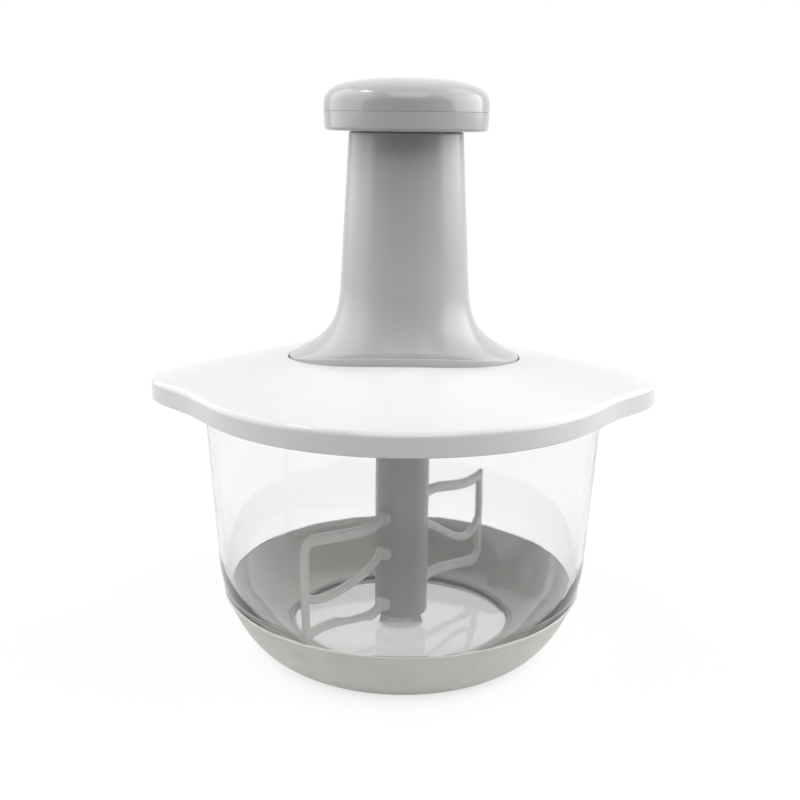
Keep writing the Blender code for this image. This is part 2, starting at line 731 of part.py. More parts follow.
def make_lid_shell(parent):
    edge_z = band_top_z - BAND_ROUNDING
    rounded = BAND_ROUNDING * (1 - math.cos(math.pi / 4))

    def flat(inset, z):
        return lid_ring(lambda a: lid_outline(a) - inset, lambda a: z)

    def well(wall, z):
        return lid_ring(
            lambda a: oval(well_half_length + wall, well_half_depth + wall, a), lambda a: z
        )

    def hole(z):
        return lid_ring(lambda a: rod_hole_radius, lambda a: z)

    rings = [flat(0, skirt_low_z), flat(0, edge_z)]
    rings.append(flat(rounded, band_top_z - rounded))
    rings += [crown_ring(share) for share in CROWN_SHARES]
    rings += [well(0, deck_top_z), hole(deck_top_z), hole(deck_low_z), well(LID_WALL, deck_low_z)]
    rings += [crown_ring(share, LID_WALL, LID_WALL) for share in CROWN_UNDER_SHARES]
    rings += [flat(SKIRT_WALL, edge_z), flat(SKIRT_WALL, skirt_low_z)]
    lid = place("lid_shell", mesh_of("lid_shell", [(rings, True)]), WHITE_PLASTIC, parent)
    drill = rods(
        "deck_drill", column_bosses, screw_hole_radius,
        deck_low_z - DECK_THICKNESS, deck_top_z + DECK_THICKNESS,
    )
    combine(lid, guide("deck_drill", drill), "DIFFERENCE")
    return lid


def make_lid_liner(parent):
    plug = plug_radius()
    seal_seat = plug - SEAL_WIDTH
    inside = seal_seat - LINER_WALL
    housing_hole = HOUSING_RADIUS + FIT
    plate_z = plug_low_z + LINER_PLATE
    flange_top_z = liner_low_z + LINER_FLANGE
    ledge_z = BOWL_RIM_Z - SEAL_LEDGE

    def edge(z):
        return lid_ring(lambda a: lid_outline(a) - SKIRT_WALL - FIT, lambda a: z)

    def ring(radius, z):
        return lid_ring(lambda a: radius, lambda a: z)

    rings = [edge(flange_top_z), edge(liner_low_z), ring(plug, liner_low_z), ring(plug, ledge_z)]
    rings += [ring(seal_seat, ledge_z), ring(seal_seat, plug_low_z)]
    rings += [ring(housing_hole, plug_low_z), ring(housing_hole, plate_z)]
    rings += [ring(inside, plate_z), ring(inside, flange_top_z)]
    mesh = mesh_of("lid_liner", [(rings, True)])
    return place("lid_liner", mesh, WHITE_PLASTIC, parent)


def make_lid_seal(parent):
    outer = bowl_mouth(seal_low_z) - SEAL_CLEARANCE
    inner = plug_radius() - SEAL_WIDTH + FIT
    middle_z = (seal_low_z + seal_top_z) / 2
    profile = [(inner, seal_low_z), (outer - FIT, seal_low_z), (outer, middle_z),
               (outer - FIT, seal_top_z), (inner, seal_top_z)]
    mesh = mesh_of("lid_seal", [(turned(profile, FACETS_BOWL), True)])
    return place("lid_seal", mesh, SOFT_GREY, parent)


# Column


def side_profile(wall):
    """(half length, z) down the column's sides, from the neck to the foot's lip."""
    lip_z = band_top_z + CROWN_HEIGHT + LIP_RISE_SIDE
    points = bezier(
        (COLUMN_NECK_RADIUS, flare_top_z),
        (COLUMN_NECK_RADIUS + SIDE_NECK_HANDLE[0], flare_top_z - SIDE_NECK_HANDLE[1]),
        (FOOT_HALF_LENGTH - SIDE_LIP_HANDLE[0], lip_z + SIDE_LIP_HANDLE[1]),
        (FOOT_HALF_LENGTH, lip_z),
        FLARE_STEPS,
    )
    return inset(points, wall)


def front_profile(wall):
    """(half depth, z) down the column's front, which flares less."""
    lip_z = band_top_z + CROWN_HEIGHT + CROWN_FRONT_RISE + LIP_RISE_FRONT
    neck = COLUMN_NECK_RADIUS * COLUMN_OVAL
    points = bezier(
        (neck, flare_top_z),
        (neck + FRONT_NECK_HANDLE[0], flare_top_z - FRONT_NECK_HANDLE[1]),
        (FOOT_HALF_DEPTH - FRONT_LIP_HANDLE[0], lip_z + FRONT_LIP_HANDLE[1]),
        (FOOT_HALF_DEPTH, lip_z),
        FLARE_STEPS,
    )
    return inset(points, wall)


def inset(points, wall):
    """Moves a flare inwards by the wall, and down too as the flare lies flatter."""
    last = len(points) - 1
    return [(half - wall, z - wall * i / last) for i, (half, z) in enumerate(points)]


def column_ring(side, front):
    """An oval ring whose height blends from the sides to the front."""
    ring = []
    for i in range(FACETS_COLUMN):
        angle = math.tau * i / FACETS_COLUMN
        across = math.cos(angle)
        along = math.sin(angle)
        z = side[1] * across**2 + front[1] * along**2
        ring.append(Vector((side[0] * across, front[0] * along, z)))
    return ring


def column_radius(z):
    """Half width of the straight, tapered part of the column."""
    share = (z - flare_top_z) / (column_top_z - flare_top_z)
    return COLUMN_NECK_RADIUS + share * (COLUMN_TOP_RADIUS - COLUMN_NECK_RADIUS)


def straight_ring(z, wall):
    """A ring of the column's straight part, moved in by a wall."""
    half = column_radius(z)
    return column_ring((half - wall, z), (half * COLUMN_OVAL - wall, z))


def column_rings(wall, top_z):
    """Rings from a height down to the foot's bottom edge."""
    rings = [straight_ring(top_z, wall)]
    rings += [column_ring(s, f) for s, f in zip(side_profile(wall), front_profile(wall))]
    foot = (FOOT_HALF_LENGTH - wall, column_low_z)
    rings.append(column_ring(foot, (FOOT_HALF_DEPTH - wall, column_low_z)))
    return rings


def column_boss_solid():
    """Screw bosses, ended inside the thickness of the flare."""
    top_z = column_low_z + COLUMN_BOSS_HEIGHT
    mesh = rods(
        "column_bosses", column_bosses, COLUMN_BOSS_RADIUS, column_low_z, top_z, FACETS_BOSS
    )
    bosses = guide("column_bosses", mesh)
    rings = column_rings(COLUMN_WALL / 2, collar_low_z)
    rings.append([point + Vector((0, 0, -FLARE_HEIGHT)) for point in rings[-1]])
    middle = guide("column_middle_of_wall", mesh_of("column_middle_of_wall", [(rings, False)]))
    combine(bosses, middle, "INTERSECT")
    return bosses


def make_column(parent):
    outer = column_rings(0.0, column_top_z)
    inner = column_rings(COLUMN_WALL, column_roof_z)
    hole = TUBE_RADIUS + 2 * FIT
    rings = outer + inner[::-1]
    rings.append(circle(hole, column_roof_z, FACETS_COLUMN))
    rings.append(circle(hole, column_top_z, FACETS_COLUMN))
    column = place("column", mesh_of("column", [(rings, True)]), GREY_PLASTIC, parent)
    combine(column, column_boss_solid(), "UNION")
    screw_end_z = housing_roof_z - FIT + COLUMN_SCREW_LENGTH
    drill = rods(
        "boss_drill", column_bosses, screw_hole_radius,
        column_low_z - FLARE_HEIGHT, screw_end_z + SCREW_END_GAP,
    )
    combine(column, guide("boss_drill", drill), "DIFFERENCE")
    return column


def make_guide_collar(parent):
    wall = COLUMN_WALL + FIT
    bore = TUBE_RADIUS + FIT
    rings = [
        straight_ring(collar_low_z, wall),
        straight_ring(collar_top_z, wall),
        circle(bore, collar_top_z, FACETS_COLUMN),
        circle(bore, collar_low_z, FACETS_COLUMN),
    ]
    mesh = mesh_of("guide_collar", [(rings, True)])
    return place("guide_collar", mesh, NATURAL_NYLON, parent)


# Drive


def make_drive_housing(parent):
    wall_low_z = cover_top_z + FIT
    profile = [
        (rod_hole_radius, housing_top_z),
        (FLANGE_RADIUS, housing_top_z),
        (FLANGE_RADIUS, housing_roof_z),
        (HOUSING_RADIUS, housing_roof_z),
        (HOUSING_RADIUS, wall_low_z),
        (housing_bore_radius, wall_low_z),
        (housing_bore_radius, housing_roof_z),
        (rod_hole_radius, housing_roof_z),
    ]
    mesh = mesh_of("drive_housing", [(turned(profile, FACETS_SHAFT), True)])
    housing = place("drive_housing", mesh, BLACK_NYLON, parent)
    flange_drill = rods(
        "flange_drill", column_bosses, screw_hole_radius,
        housing_roof_z - FLANGE_THICKNESS, housing_top_z + FLANGE_THICKNESS,
    )
    combine(housing, guide("flange_drill", flange_drill), "DIFFERENCE")
    wall_drill = rods(
        "wall_drill", cover_screws, COVER_SCREW_RADIUS + FIT,
        cover_low_z, cover_low_z - FIT + COVER_SCREW_LENGTH + SCREW_END_GAP,
    )
    combine(housing, guide("wall_drill", wall_drill), "DIFFERENCE")
    return housing


def make_housing_cover(parent):
    profile = tube_profile(HUB_NECK_RADIUS + FIT, HOUSING_RADIUS, cover_low_z, cover_top_z)
    mesh = mesh_of("housing_cover", [(turned(profile, FACETS_SHAFT), True)])
    cover = place("housing_cover", mesh, BLACK_NYLON, parent)
    drill = rods(
        "cover_drill", cover_screws, COVER_SCREW_RADIUS + FIT,
        cover_low_z - COVER_THICKNESS, cover_top_z + COVER_THICKNESS,
    )
    combine(cover, guide("cover_drill", drill), "DIFFERENCE")
    return cover


def washer(name, inner, outer, low, height, look, parent):
    profile = tube_profile(inner, outer, low, low + height)
    return place(name, mesh_of(name, [(turned(profile, FACETS_SMALL), True)]), look, parent)


def twisted_square(name, side, low, high, outward):
    """A square bar twisted about the axis, with hollow faces, or full ones as a cutter."""
    steps = math.ceil((high - low) / ROD_LEAD * ROD_STEPS_PER_TURN)
    corner = side / math.sqrt(2)
    bm = bmesh.new()
    rings = []
    for i in range(steps + 1):
        z = low + (high - low) * i / steps
        turn = math.tau * z / ROD_LEAD
        corners = [turn + math.pi / 2 * k for k in range(4)]
        rings.append([bm.verts.new((corner * math.cos(c), corner * math.sin(c), z))
                      for c in corners])
    for lower, upper in zip(rings, rings[1:]):
        for k in range(4):
            a, b = lower[k], lower[(k + 1) % 4]
            c, d = upper[(k + 1) % 4], upper[k]
            faces = ((a, b, d), (b, c, d)) if outward else ((a, b, c), (a, c, d))
            for three in faces:
                bm.faces.new(three)
    bm.faces.new(rings[0])
    bm.faces.new(rings[-1])
    return as_mesh(name, bm)


def tooth_ring(radius, low, high):
    """A ring that climbs from low to high on each tooth's ramp and drops back at its end."""
    points = []
    for i in range(TOOTH_COUNT):
        for share, z in ((0.0, low), (1.0 - TOOTH_DROP_SHARE, high)):
            angle = math.tau * (i + share) / TOOTH_COUNT
            points.append(Vector((radius * math.cos(angle), radius * math.sin(angle), z)))
    return points


def toothed_circle(radius, z):
    """A level ring with the same angles as the teeth."""
    return tooth_ring(radius, z, z)


def make_drive_nut(parent):
    crest_z = nut_low_z + TOOTH_HEIGHT
    rings = [
        [Vector((0, 0, crest_z))],
        toothed_circle(TOOTH_INNER_RADIUS - FIT, crest_z),
        tooth_ring(TOOTH_INNER_RADIUS, nut_low_z, crest_z),
        tooth_ring(NUT_RADIUS, nut_low_z, crest_z),
        toothed_circle(NUT_RADIUS, nut_top_z),
        [Vector((0, 0, nut_top_z))],
    ]
    nut = place("drive_nut", mesh_of("drive_nut", [(rings, False)]), NATURAL_NYLON, parent)
    spare = 2 * ROD_CLEARANCE
    hole = twisted_square(
        "rod_bore", ROD_SIDE + spare, nut_low_z - NUT_HEIGHT, nut_top_z + NUT_HEIGHT, True
    )
    combine(nut, guide("rod_bore", hole), "DIFFERENCE")
    return nut


def make_output_hub(parent):
    points = 2 * TOOTH_COUNT
    crest_z = hub_face_z + TOOTH_HEIGHT
    neck_low_z = shaft_top_z + FIT
    rings = [
        circle(hub_bore_radius, hex_low_z, points),
        hexagon(HEX_CORNER_RADIUS, hex_low_z, points),
        hexagon(HEX_CORNER_RADIUS, neck_low_z, points),
        circle(HUB_NECK_RADIUS, neck_low_z, points),
        circle(HUB_NECK_RADIUS, hub_flange_low_z, points),
        circle(HUB_FLANGE_RADIUS, hub_flange_low_z, points),
        toothed_circle(HUB_FLANGE_RADIUS, hub_face_z),
        toothed_circle(NUT_RADIUS + FIT, hub_face_z),
        tooth_ring(NUT_RADIUS, hub_face_z, crest_z),
        tooth_ring(TOOTH_INNER_RADIUS, hub_face_z, crest_z),
        toothed_circle(TOOTH_INNER_RADIUS - FIT, hub_face_z),
        toothed_circle(hub_bore_radius, hub_face_z),
    ]
    mesh = mesh_of("output_hub", [(rings, True)])
    return place("output_hub", mesh, NATURAL_NYLON, parent)


# Plunger


def make_plunger_tube(parent):
    profile = [
        (screw_hole_radius, tube_top_z),
        (TUBE_FLANGE_RADIUS, tube_top_z),
        (TUBE_FLANGE_RADIUS, tube_roof_z),
        (TUBE_RADIUS, tube_roof_z),
        (TUBE_RADIUS, tube_low_z),
        (tube_bore_radius, tube_low_z),
        (tube_bore_radius, tube_roof_z),
        (screw_hole_radius, tube_roof_z),
    ]
    mesh = mesh_of("plunger_tube", [(turned(profile, FACETS_TUBE), True)])
    return place("plunger_tube", mesh, GREY_PLASTIC, parent)


def make_stop_ring(parent):
    bore = TUBE_RADIUS + FIT
    profile = tube_profile(bore, bore + STOP_RING_WIDTH, stop_ring_low_z, stop_ring_top_z)
    mesh = mesh_of("stop_ring", [(turned(profile, FACETS_TUBE), True)])
    return place("stop_ring", mesh, NATURAL_NYLON, parent)


def make_spiral_rod(parent):
    head_low_z = rod_top_z - ROD_HEAD_LENGTH
    joint_z = head_low_z + ROD_HEAD_OVERLAP
    hole_low_z = tube_top_z + FIT - ROD_SCREW_LENGTH - SCREW_END_GAP
    bar = twisted_square("spiral_rod", ROD_SIDE, rod_low_z, joint_z, False)
    rod = place("spiral_rod", bar, STEEL, parent)
    profile = [
        (0, head_low_z),
        (ROD_HEAD_RADIUS, head_low_z),
        (ROD_HEAD_RADIUS, rod_top_z),
        (screw_hole_radius, rod_top_z),
        (screw_hole_radius, hole_low_z),
        (0, hole_low_z),
    ]
    head = guide("rod_head", mesh_of("rod_head", [(turned(profile, FACETS_SMALL), False)]))
    combine(rod, head, "UNION")
    return rod


def spring_points():
    """A coil whose end turns lie close and whose middle turns are evenly open."""
    low = spring_seat_z + SPRING_SEAT_HEIGHT + FIT + SPRING_WIRE / 2
    high = rod_top_z - SPRING_WIRE / 2
    end_rise = SPRING_END_TURNS * SPRING_END_PITCH
    open_turns = SPRING_TURNS - 2 * SPRING_END_TURNS
    pitch = (high - low - 2 * end_rise) / open_turns
    points = []
    for i in range(SPRING_TURNS * SPRING_POINTS_PER_TURN + 1):
        turns = i / SPRING_POINTS_PER_TURN
        from_end = min(turns, SPRING_TURNS - turns)
        close = min(from_end, SPRING_END_TURNS) * SPRING_END_PITCH
        rise = close + max(from_end - SPRING_END_TURNS, 0.0) * pitch
        z = low + rise if turns <= SPRING_TURNS / 2 else high - rise
        angle = math.tau * turns
        points.append((SPRING_RADIUS * math.cos(angle), SPRING_RADIUS * math.sin(angle), z))
    return points


def make_return_spring(parent):
    curve = bpy.data.curves.new("return_spring", "CURVE")
    curve.dimensions = "3D"
    curve.bevel_depth = SPRING_WIRE / 2
    curve.bevel_resolution = 1
    curve.use_fill_caps = True
    points = spring_points()
    spline = curve.splines.new("POLY")
    spline.points.add(len(points) - 1)
    for target, point in zip(spline.points, points):
        target.co = (*point, 1.0)
    curve.materials.append(finish("return_spring", STEEL))
    spring = bpy.data.objects.new("return_spring", curve)
    bpy.context.collection.objects.link(spring)
    spring.parent = parent
    return spring


# Knob


def cushion(radius, height, share):
    """A point of the knob's superellipse, from its widest (share 0) to its top (share 1)."""
    angle = math.pi / 2 * share
    across = max(math.cos(angle), 0.0) ** (2 / KNOB_SIDE_POWER)
    up = math.sin(angle) ** (2 / KNOB_TOP_POWER)
    return radius * across, height * up


def cushion_height(radius, height, at):
    """Height of that superellipse at a distance from the axis."""
    return height * (1 - (at / radius) ** KNOB_SIDE_POWER) ** (1 / KNOB_TOP_POWER)


def make_knob_cap(parent):
    low_z = seam_z + FIT
    widest_z = low_z + KNOB_CAP_BAND
    height = knob_top_z - widest_z
    bore = KNOB_RADIUS - KNOB_WALL
    ceiling = height - KNOB_WALL
    ring_out = TUBE_FLANGE_RADIUS
    ring_in = TUBE_FLANGE_RADIUS - CLAMP_RING_WIDTH
    ring_low_z = tube_top_z + FIT
    profile = [(KNOB_RADIUS, low_z)]
    for i in range(KNOB_STEPS):
        radius, rise = cushion(KNOB_RADIUS, height, i / KNOB_STEPS)
        profile.append((radius, widest_z + rise))
    profile.append((0, knob_top_z))
    inside = [(0, widest_z + ceiling)]
    for radius in (ring_in, ring_out):
        inside.append((radius, widest_z + cushion_height(bore, ceiling, radius)))
    inside.insert(2, (ring_in, ring_low_z))
    inside.insert(3, (ring_out, ring_low_z))
    for share in KNOB_CEILING_SHARES:
        radius, rise = cushion(bore, ceiling, share)
        inside.append((radius, widest_z + rise))
    inside.append((bore, low_z))
    rings = turned(inside + profile, FACETS_COLUMN)
    return place("knob_cap", mesh_of("knob_cap", [(rings, False)]), GREY_PLASTIC, parent)


def make_knob_base(parent):
    bore = TUBE_RADIUS + FIT
    waist = KNOB_RADIUS - KNOB_BASE_TAPER
    floor_z = knob_low_z + KNOB_WALL
    profile = [(bore, seam_z), (bore, knob_low_z), (waist - KNOB_BASE_ROUNDING, knob_low_z)]
    for i in range(1, KNOB_BASE_STEPS + 1):
        angle = math.pi / 2 * i / KNOB_BASE_STEPS
        profile.append(
            (
                waist - KNOB_BASE_ROUNDING * (1 - math.sin(angle)),
                knob_low_z + KNOB_BASE_ROUNDING * (1 - math.cos(angle)),
            )
        )
    profile += [(KNOB_RADIUS, seam_z), (KNOB_RADIUS - KNOB_WALL, seam_z)]
    profile += [(waist - KNOB_WALL, floor_z), (TUBE_FLANGE_RADIUS, floor_z)]
    profile.append((TUBE_FLANGE_RADIUS, seam_z))
    mesh = mesh_of("knob_base", [(turned(profile, FACETS_COLUMN), True)])
    return place("knob_base", mesh, GREY_PLASTIC, parent)


def make_column_screws(parent):
    mesh = pan_head_screw("column_screw", SCREW_RADIUS, SCREW_HEAD_RADIUS, SCREW_HEAD_HEIGHT,
                          COLUMN_SCREW_LENGTH)
    for i, (x, y) in enumerate(column_bosses):
        screw = place(f"column_screw_{i + 1}", mesh.copy(), STEEL, parent)
        screw.location = (x, y, housing_roof_z - FIT)


def make_cover_screws(parent):
    mesh = pan_head_screw("cover_screw", COVER_SCREW_RADIUS, COVER_SCREW_HEAD_RADIUS,
                          COVER_SCREW_HEAD_HEIGHT, COVER_SCREW_LENGTH)
    for i, (x, y) in enumerate(cover_screws):
        screw = place(f"cover_screw_{i + 1}", mesh.copy(), STEEL, parent)
        screw.location = (x, y, cover_low_z - FIT)


def make_rod_screw(parent):
    """Points down, with its head on the tube's closed top."""
    mesh = pan_head_screw("rod_screw", SCREW_RADIUS, SCREW_HEAD_RADIUS, SCREW_HEAD_HEIGHT,
                          ROD_SCREW_LENGTH)
    screw = place("rod_screw", mesh, STEEL, parent)
    screw.rotation_euler.x = math.pi
    screw.location.z = tube_top_z + FIT


def main():
    for old in list(bpy.data.objects):
        bpy.data.objects.remove(old, do_unlink=True)
    base = group("base_group")
    beater = group("beater_group", base)
    lid = group("lid_group", base)
    plunger = group("plunger_group", lid)
    driver = group("driver_group", lid)
    output = group("output_group", lid)
    make_bowl(base)
    make_grip_base(base)
    make_pivot_pin(base)
    make_beater_shaft(beater)
    make_shaft_bush(beater)
    make_paddles(beater)
    make_lid_shell(lid)
    make_lid_liner(lid)
    make_lid_seal(lid)
    make_column(lid)
    make_guide_collar(lid)
    make_drive_housing(lid)
    make_housing_cover(lid)
    washer("upper_thrust_washer", rod_hole_radius, NUT_RADIUS, upper_washer_z,
           WASHER_THICKNESS, STEEL, lid)
    washer("lower_thrust_washer", HUB_NECK_RADIUS + FIT, HUB_FLANGE_RADIUS, lower_washer_z,
           WASHER_THICKNESS, STEEL, lid)
    washer("spring_seat", rod_hole_radius, tube_bore_radius - FIT, spring_seat_z,
           SPRING_SEAT_HEIGHT, NATURAL_NYLON, lid)
    make_return_spring(lid)
    make_drive_nut(driver)
    make_output_hub(output)
    make_plunger_tube(plunger)
    make_stop_ring(plunger)
    make_spiral_rod(plunger)
    make_knob_cap(plunger)
    make_knob_base(plunger)
    make_column_screws(lid)
    make_cover_screws(lid)
    make_rod_screw(plunger)


main()
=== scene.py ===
"""Looks of the press-down food chopper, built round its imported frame.

Lengths are in metres in the frame's axes: +Z up, the lid's ears along X and the front at -Y.
Heights and radii that the frame holds are read from its nodes; the others are named below.
"""

import json
import math

import bmesh
import bpy
from mathutils import Matrix, Vector


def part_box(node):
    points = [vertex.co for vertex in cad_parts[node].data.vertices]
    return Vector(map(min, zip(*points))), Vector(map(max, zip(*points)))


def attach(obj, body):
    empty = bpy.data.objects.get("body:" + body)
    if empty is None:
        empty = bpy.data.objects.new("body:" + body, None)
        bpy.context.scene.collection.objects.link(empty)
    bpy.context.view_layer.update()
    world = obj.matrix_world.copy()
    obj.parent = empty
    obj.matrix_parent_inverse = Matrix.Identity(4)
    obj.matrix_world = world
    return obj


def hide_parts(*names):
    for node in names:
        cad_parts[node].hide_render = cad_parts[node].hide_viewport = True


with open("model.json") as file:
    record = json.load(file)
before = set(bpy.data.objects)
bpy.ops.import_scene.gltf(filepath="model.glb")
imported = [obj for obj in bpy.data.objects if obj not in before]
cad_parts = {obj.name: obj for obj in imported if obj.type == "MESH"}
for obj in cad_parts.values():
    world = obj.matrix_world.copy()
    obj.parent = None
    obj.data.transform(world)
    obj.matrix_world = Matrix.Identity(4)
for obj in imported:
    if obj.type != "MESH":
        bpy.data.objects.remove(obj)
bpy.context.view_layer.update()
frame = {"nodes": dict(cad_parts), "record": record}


def low(node):
    """Height of a CAD node's lowest point."""
    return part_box(node)[0].z


def high(node):
    """Height of a CAD node's highest point."""
    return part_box(node)[1].z


def reach(node):
    """How far a CAD node reaches along +X, which is its radius where it is round."""
    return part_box(node)[1].x


PLAY = 0.0003  # between pieces that move or are pushed into each other

# Bowl
RIM_RADIUS = reach("bowl")
RIM_Z = high("bowl")
DISC_LOW_Z = low("bowl")
WAIST_Z = 0.0385
WAIST_RADIUS = 0.0726
FLAT_RADIUS = 0.0465
CORNER_POWER = 1.75  # 2 makes the corner below the waist a quarter of an ellipse
DISC_RADIUS = 0.0452
DISC_DROP = 0.0018
BOWL_WALL = 0.00205
BOWL_FLOOR = 0.0022
FLOOR_STEP = 0.0010
BOSS_RADIUS = 0.0088
BOSS_TAPER = 0.0008
BOSS_HEIGHT = 0.0064
BOWL_ROUNDING = 0.0006
FOOT_FROST = 0.0004
FROST_FADE = (0.0003, 0.0012)
FROST_ROUGHNESS = 0.5
BASE_Z = DISC_LOW_Z + DISC_DROP
FLOOR_Z = DISC_LOW_Z + BOWL_FLOOR
PIN_HOLE = reach("pivot_pin") + PLAY

# Soft grip
GRIP_TOP_Z = high("grip_base")
GRIP_SOLE_WIDTH = 0.0033
GRIP_GAP = 0.0001
GRIP_LIP = 0.0007
GRIP_LIP_HEIGHT = 0.0045
GRIP_SOLE_CUT = 0.0006  # how far below the table the skin's curve would reach

# Beater
SHAFT_RADIUS = reach("beater_shaft")
SHAFT_LOW_Z = low("beater_shaft")
SHAFT_TOP_Z = high("beater_shaft")
SHAFT_BORE = 0.0070
SHAFT_ROUNDING = 0.0005
SOCKET_CORNER = 0.0085
SOCKET_LOW_Z = low("output_hub") - PLAY
PADDLE_ANGLE = math.radians(50.9)
PADDLE_REACHES = {"right": 0.0537, "left": 0.0553}
HOOP_MIDDLE_Z = 0.0350
ARM_HEIGHT = 0.0040
MIDDLE_ARM_HEIGHT = 0.0030
BAR_WIDTH = 0.0026
PADDLE_THICKNESS = 0.0024
PADDLE_CORNER = 0.0045
PADDLE_HEEL = 0.0008
PADDLE_STUB = 0.0030
ARM_ROOT = 0.0010
# An arm's heights at its stub, two handles and end, and the handles' shares of its length
TOP_ARM_HEIGHTS = (0.0520, 0.0478, 0.0525, 0.0546)
TOP_ARM_SHARES = (0.135, 0.59)
BOTTOM_ARM_HEIGHTS = (0.0158, 0.0095, 0.0196, 0.0166)
BOTTOM_ARM_SHARES = (0.16, 0.60)
MIDDLE_HEIGHTS = {
    "right": (0.0425, 0.0410, 0.0180, 0.0340),
    "left": (0.0375, 0.0310, 0.0265, 0.0335),
}
MIDDLE_SHARES = {"right": (0.285, 0.76), "left": (0.165, 0.825)}
TAB_WIDTH = 0.0058
TAB_HEIGHT = 0.0046
TAB_REACH = 0.0022

# Lid
LID_HALF_LENGTH = reach("lid_shell")
LID_LOW_Z = low("lid_shell")
LID_HALF_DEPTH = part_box("lid_shell")[1].y
BAND_HEIGHT = 0.0080
BAND_ROUNDING = 0.0016
SKIRT_WALL = 0.0016
SKIRT_ROUNDING = 0.0004
SIDE_SWELL = 0.0027
EAR_SPREAD = math.radians(14.5)
CROWN_HEIGHT = 0.0091
CROWN_FRONT_RISE = 0.0019
CROWN_POWER = 1.7
LID_WALL = 0.0018
LINING_REACH = 0.95
WELL_GAP = 0.00045
WELL_ROUNDING = 0.0006
DECK_THICKNESS = 0.0022
BAND_TOP_Z = LID_LOW_Z + BAND_HEIGHT
DECK_TOP_Z = low("column") - PLAY
ROD_HOLE = 0.0064

# Column
COLUMN_TOP_Z = high("column")
COLUMN_LOW_Z = low("column")
FOOT_HALF_LENGTH = reach("column")
FOOT_HALF_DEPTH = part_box("column")[1].y
COLUMN_TOP_RADIUS = 0.0211
COLUMN_NECK_RADIUS = 0.0244
COLUMN_OVAL = 0.90
COLUMN_WALL = 0.0022
COLUMN_ROOF = 0.0025
COLUMN_ROUNDING = 0.0007
FLARE_HEIGHT = 0.0305
FLARE_TOP_Z = COLUMN_LOW_Z + FLARE_HEIGHT
LIP_ROUNDING = 0.0005
SIDE_LIP_HEIGHT = 0.0005
FRONT_LIP_HEIGHT = 0.0028
SIDE_LIP_Z = BAND_TOP_Z + CROWN_HEIGHT + SIDE_LIP_HEIGHT
FRONT_LIP_Z = BAND_TOP_Z + CROWN_HEIGHT + CROWN_FRONT_RISE + FRONT_LIP_HEIGHT
SIDE_NECK_HANDLE = (0.0010, 0.0125)
SIDE_LIP_HANDLE = (0.0167, 0.0080)
FRONT_NECK_HANDLE = (0.0006, 0.0080)
FRONT_LIP_HANDLE = (0.0038, 0.0089)

# Knob and plunger
KNOB_RADIUS = reach("knob_cap")
KNOB_LOW_Z = low("knob_base")
SEAM_Z = high("knob_base")
KNOB_TOP_Z = high("knob_cap")
CAP_LOW_Z = low("knob_cap")
CAP_BAND = 0.0009
KNOB_TAPER = 0.0004
KNOB_ROUNDING = 0.0014
KNOB_WALL = 0.0022
KNOB_HUB_WALL = 0.0040
KNOB_SIDE_POWER = 2.6
KNOB_TOP_POWER = 3.3
SEAM_ROUNDING = 0.00012
SEAM_GAP = 0.00006
STOP_RING_WIDTH = 0.0028
TUBE_RADIUS = reach("stop_ring") - STOP_RING_WIDTH
TUBE_GAP = 0.0006

# Camera, as fitted to the photograph's 800 pixels
PHOTO_SIDE = 800
FOCAL_PIXELS = 1100
SENSOR = 36.0
CAMERA_PLACE = (0.0, -0.415, 0.204)
CAMERA_PITCH = math.radians(14.4)
CAMERA_ROLL = math.radians(0.62)
AXIS_PIXEL = 403.3
CLIP_START = 0.01

# Studio: lamps by place, width, height and watts, all aimed at the middle of the object
AIM = (0.0, 0.0, 0.10)
LAMPS = {
    "left_softbox": ((-0.88, 0.08, 0.57), 1.4, 1.1, 7.9),
    "right_softbox": ((0.82, 0.07, 0.66), 1.2, 1.1, 5.6),
    "right_strip": ((0.93, 0.13, 0.44), 1.15, 0.65, 4.1),
    "front_top_softbox": ((0.06, -0.685, 1.083), 0.9, 0.9, 5.6),
    "upper_left_spot": ((-0.60, 0.05, 1.15), 0.34, 0.16, 1.6),
}
# The tent's brightness at its sides and its back, as light and in a mirror
TENT_LIGHT = (0.35, 0.50)
TENT_MIRROR = (0.40, 1.0)
# The table as the camera sees it: its shade in the lamps' light and its own glow, which
# rises towards the far edge and drops under the bowl as a painted shade, over radii from the
# object's axis
TABLE_HALF = 6.0
TABLE_DROP = 0.0001
TABLE_SHADE = 0.15
TABLE_GLOW = 0.86
TABLE_EDGE = (0.30, 0.80)
# Painted shade under the bowl: the table's lower glow there and the radii over which it fades
PAINTED_SHADE_UNDER_BOWL_GLOW = 0.60
PAINTED_SHADE_UNDER_BOWL_RADII = (0.046, 0.060)
# The table as it lights the object
TABLE_BOUNCE = 0.80
FAR_BOUNCE = 0.08
BOUNCE_EDGE = (0.10, 0.28)

# How finely round shapes are drawn
ROUND_STEPS = 192
SMALL_STEPS = 96
CORNER_STEPS = 5
CURVE_STEPS = 28
LID_STEPS = 320
CROWN_STEPS = 24
KNOB_STEPS = 32
BAR_STEPS = 20
EDGE_POWER = 0.6  # 1 would give a bar an oval section, and less makes it boxier
MELT_VOXEL = 0.00028
MELT_LOSS = 0.00015
MELT_ROUNDS = 3
SAME_PLACE = 1e-6
SAME_POINT = 1e-7
SHARP_ANGLE = 35.0
SHARP_PADDLE_ANGLE = 60.0


# Materials


def linear(hex_colour):
    """An sRGB hex colour as linear light with full alpha."""
    shares = [int(hex_colour[i : i + 2], 16) / 255 for i in (0, 2, 4)]
    lights = [s / 12.92 if s <= 0.04045 else ((s + 0.055) / 1.055) ** 2.4 for s in shares]
    return (*lights, 1.0)


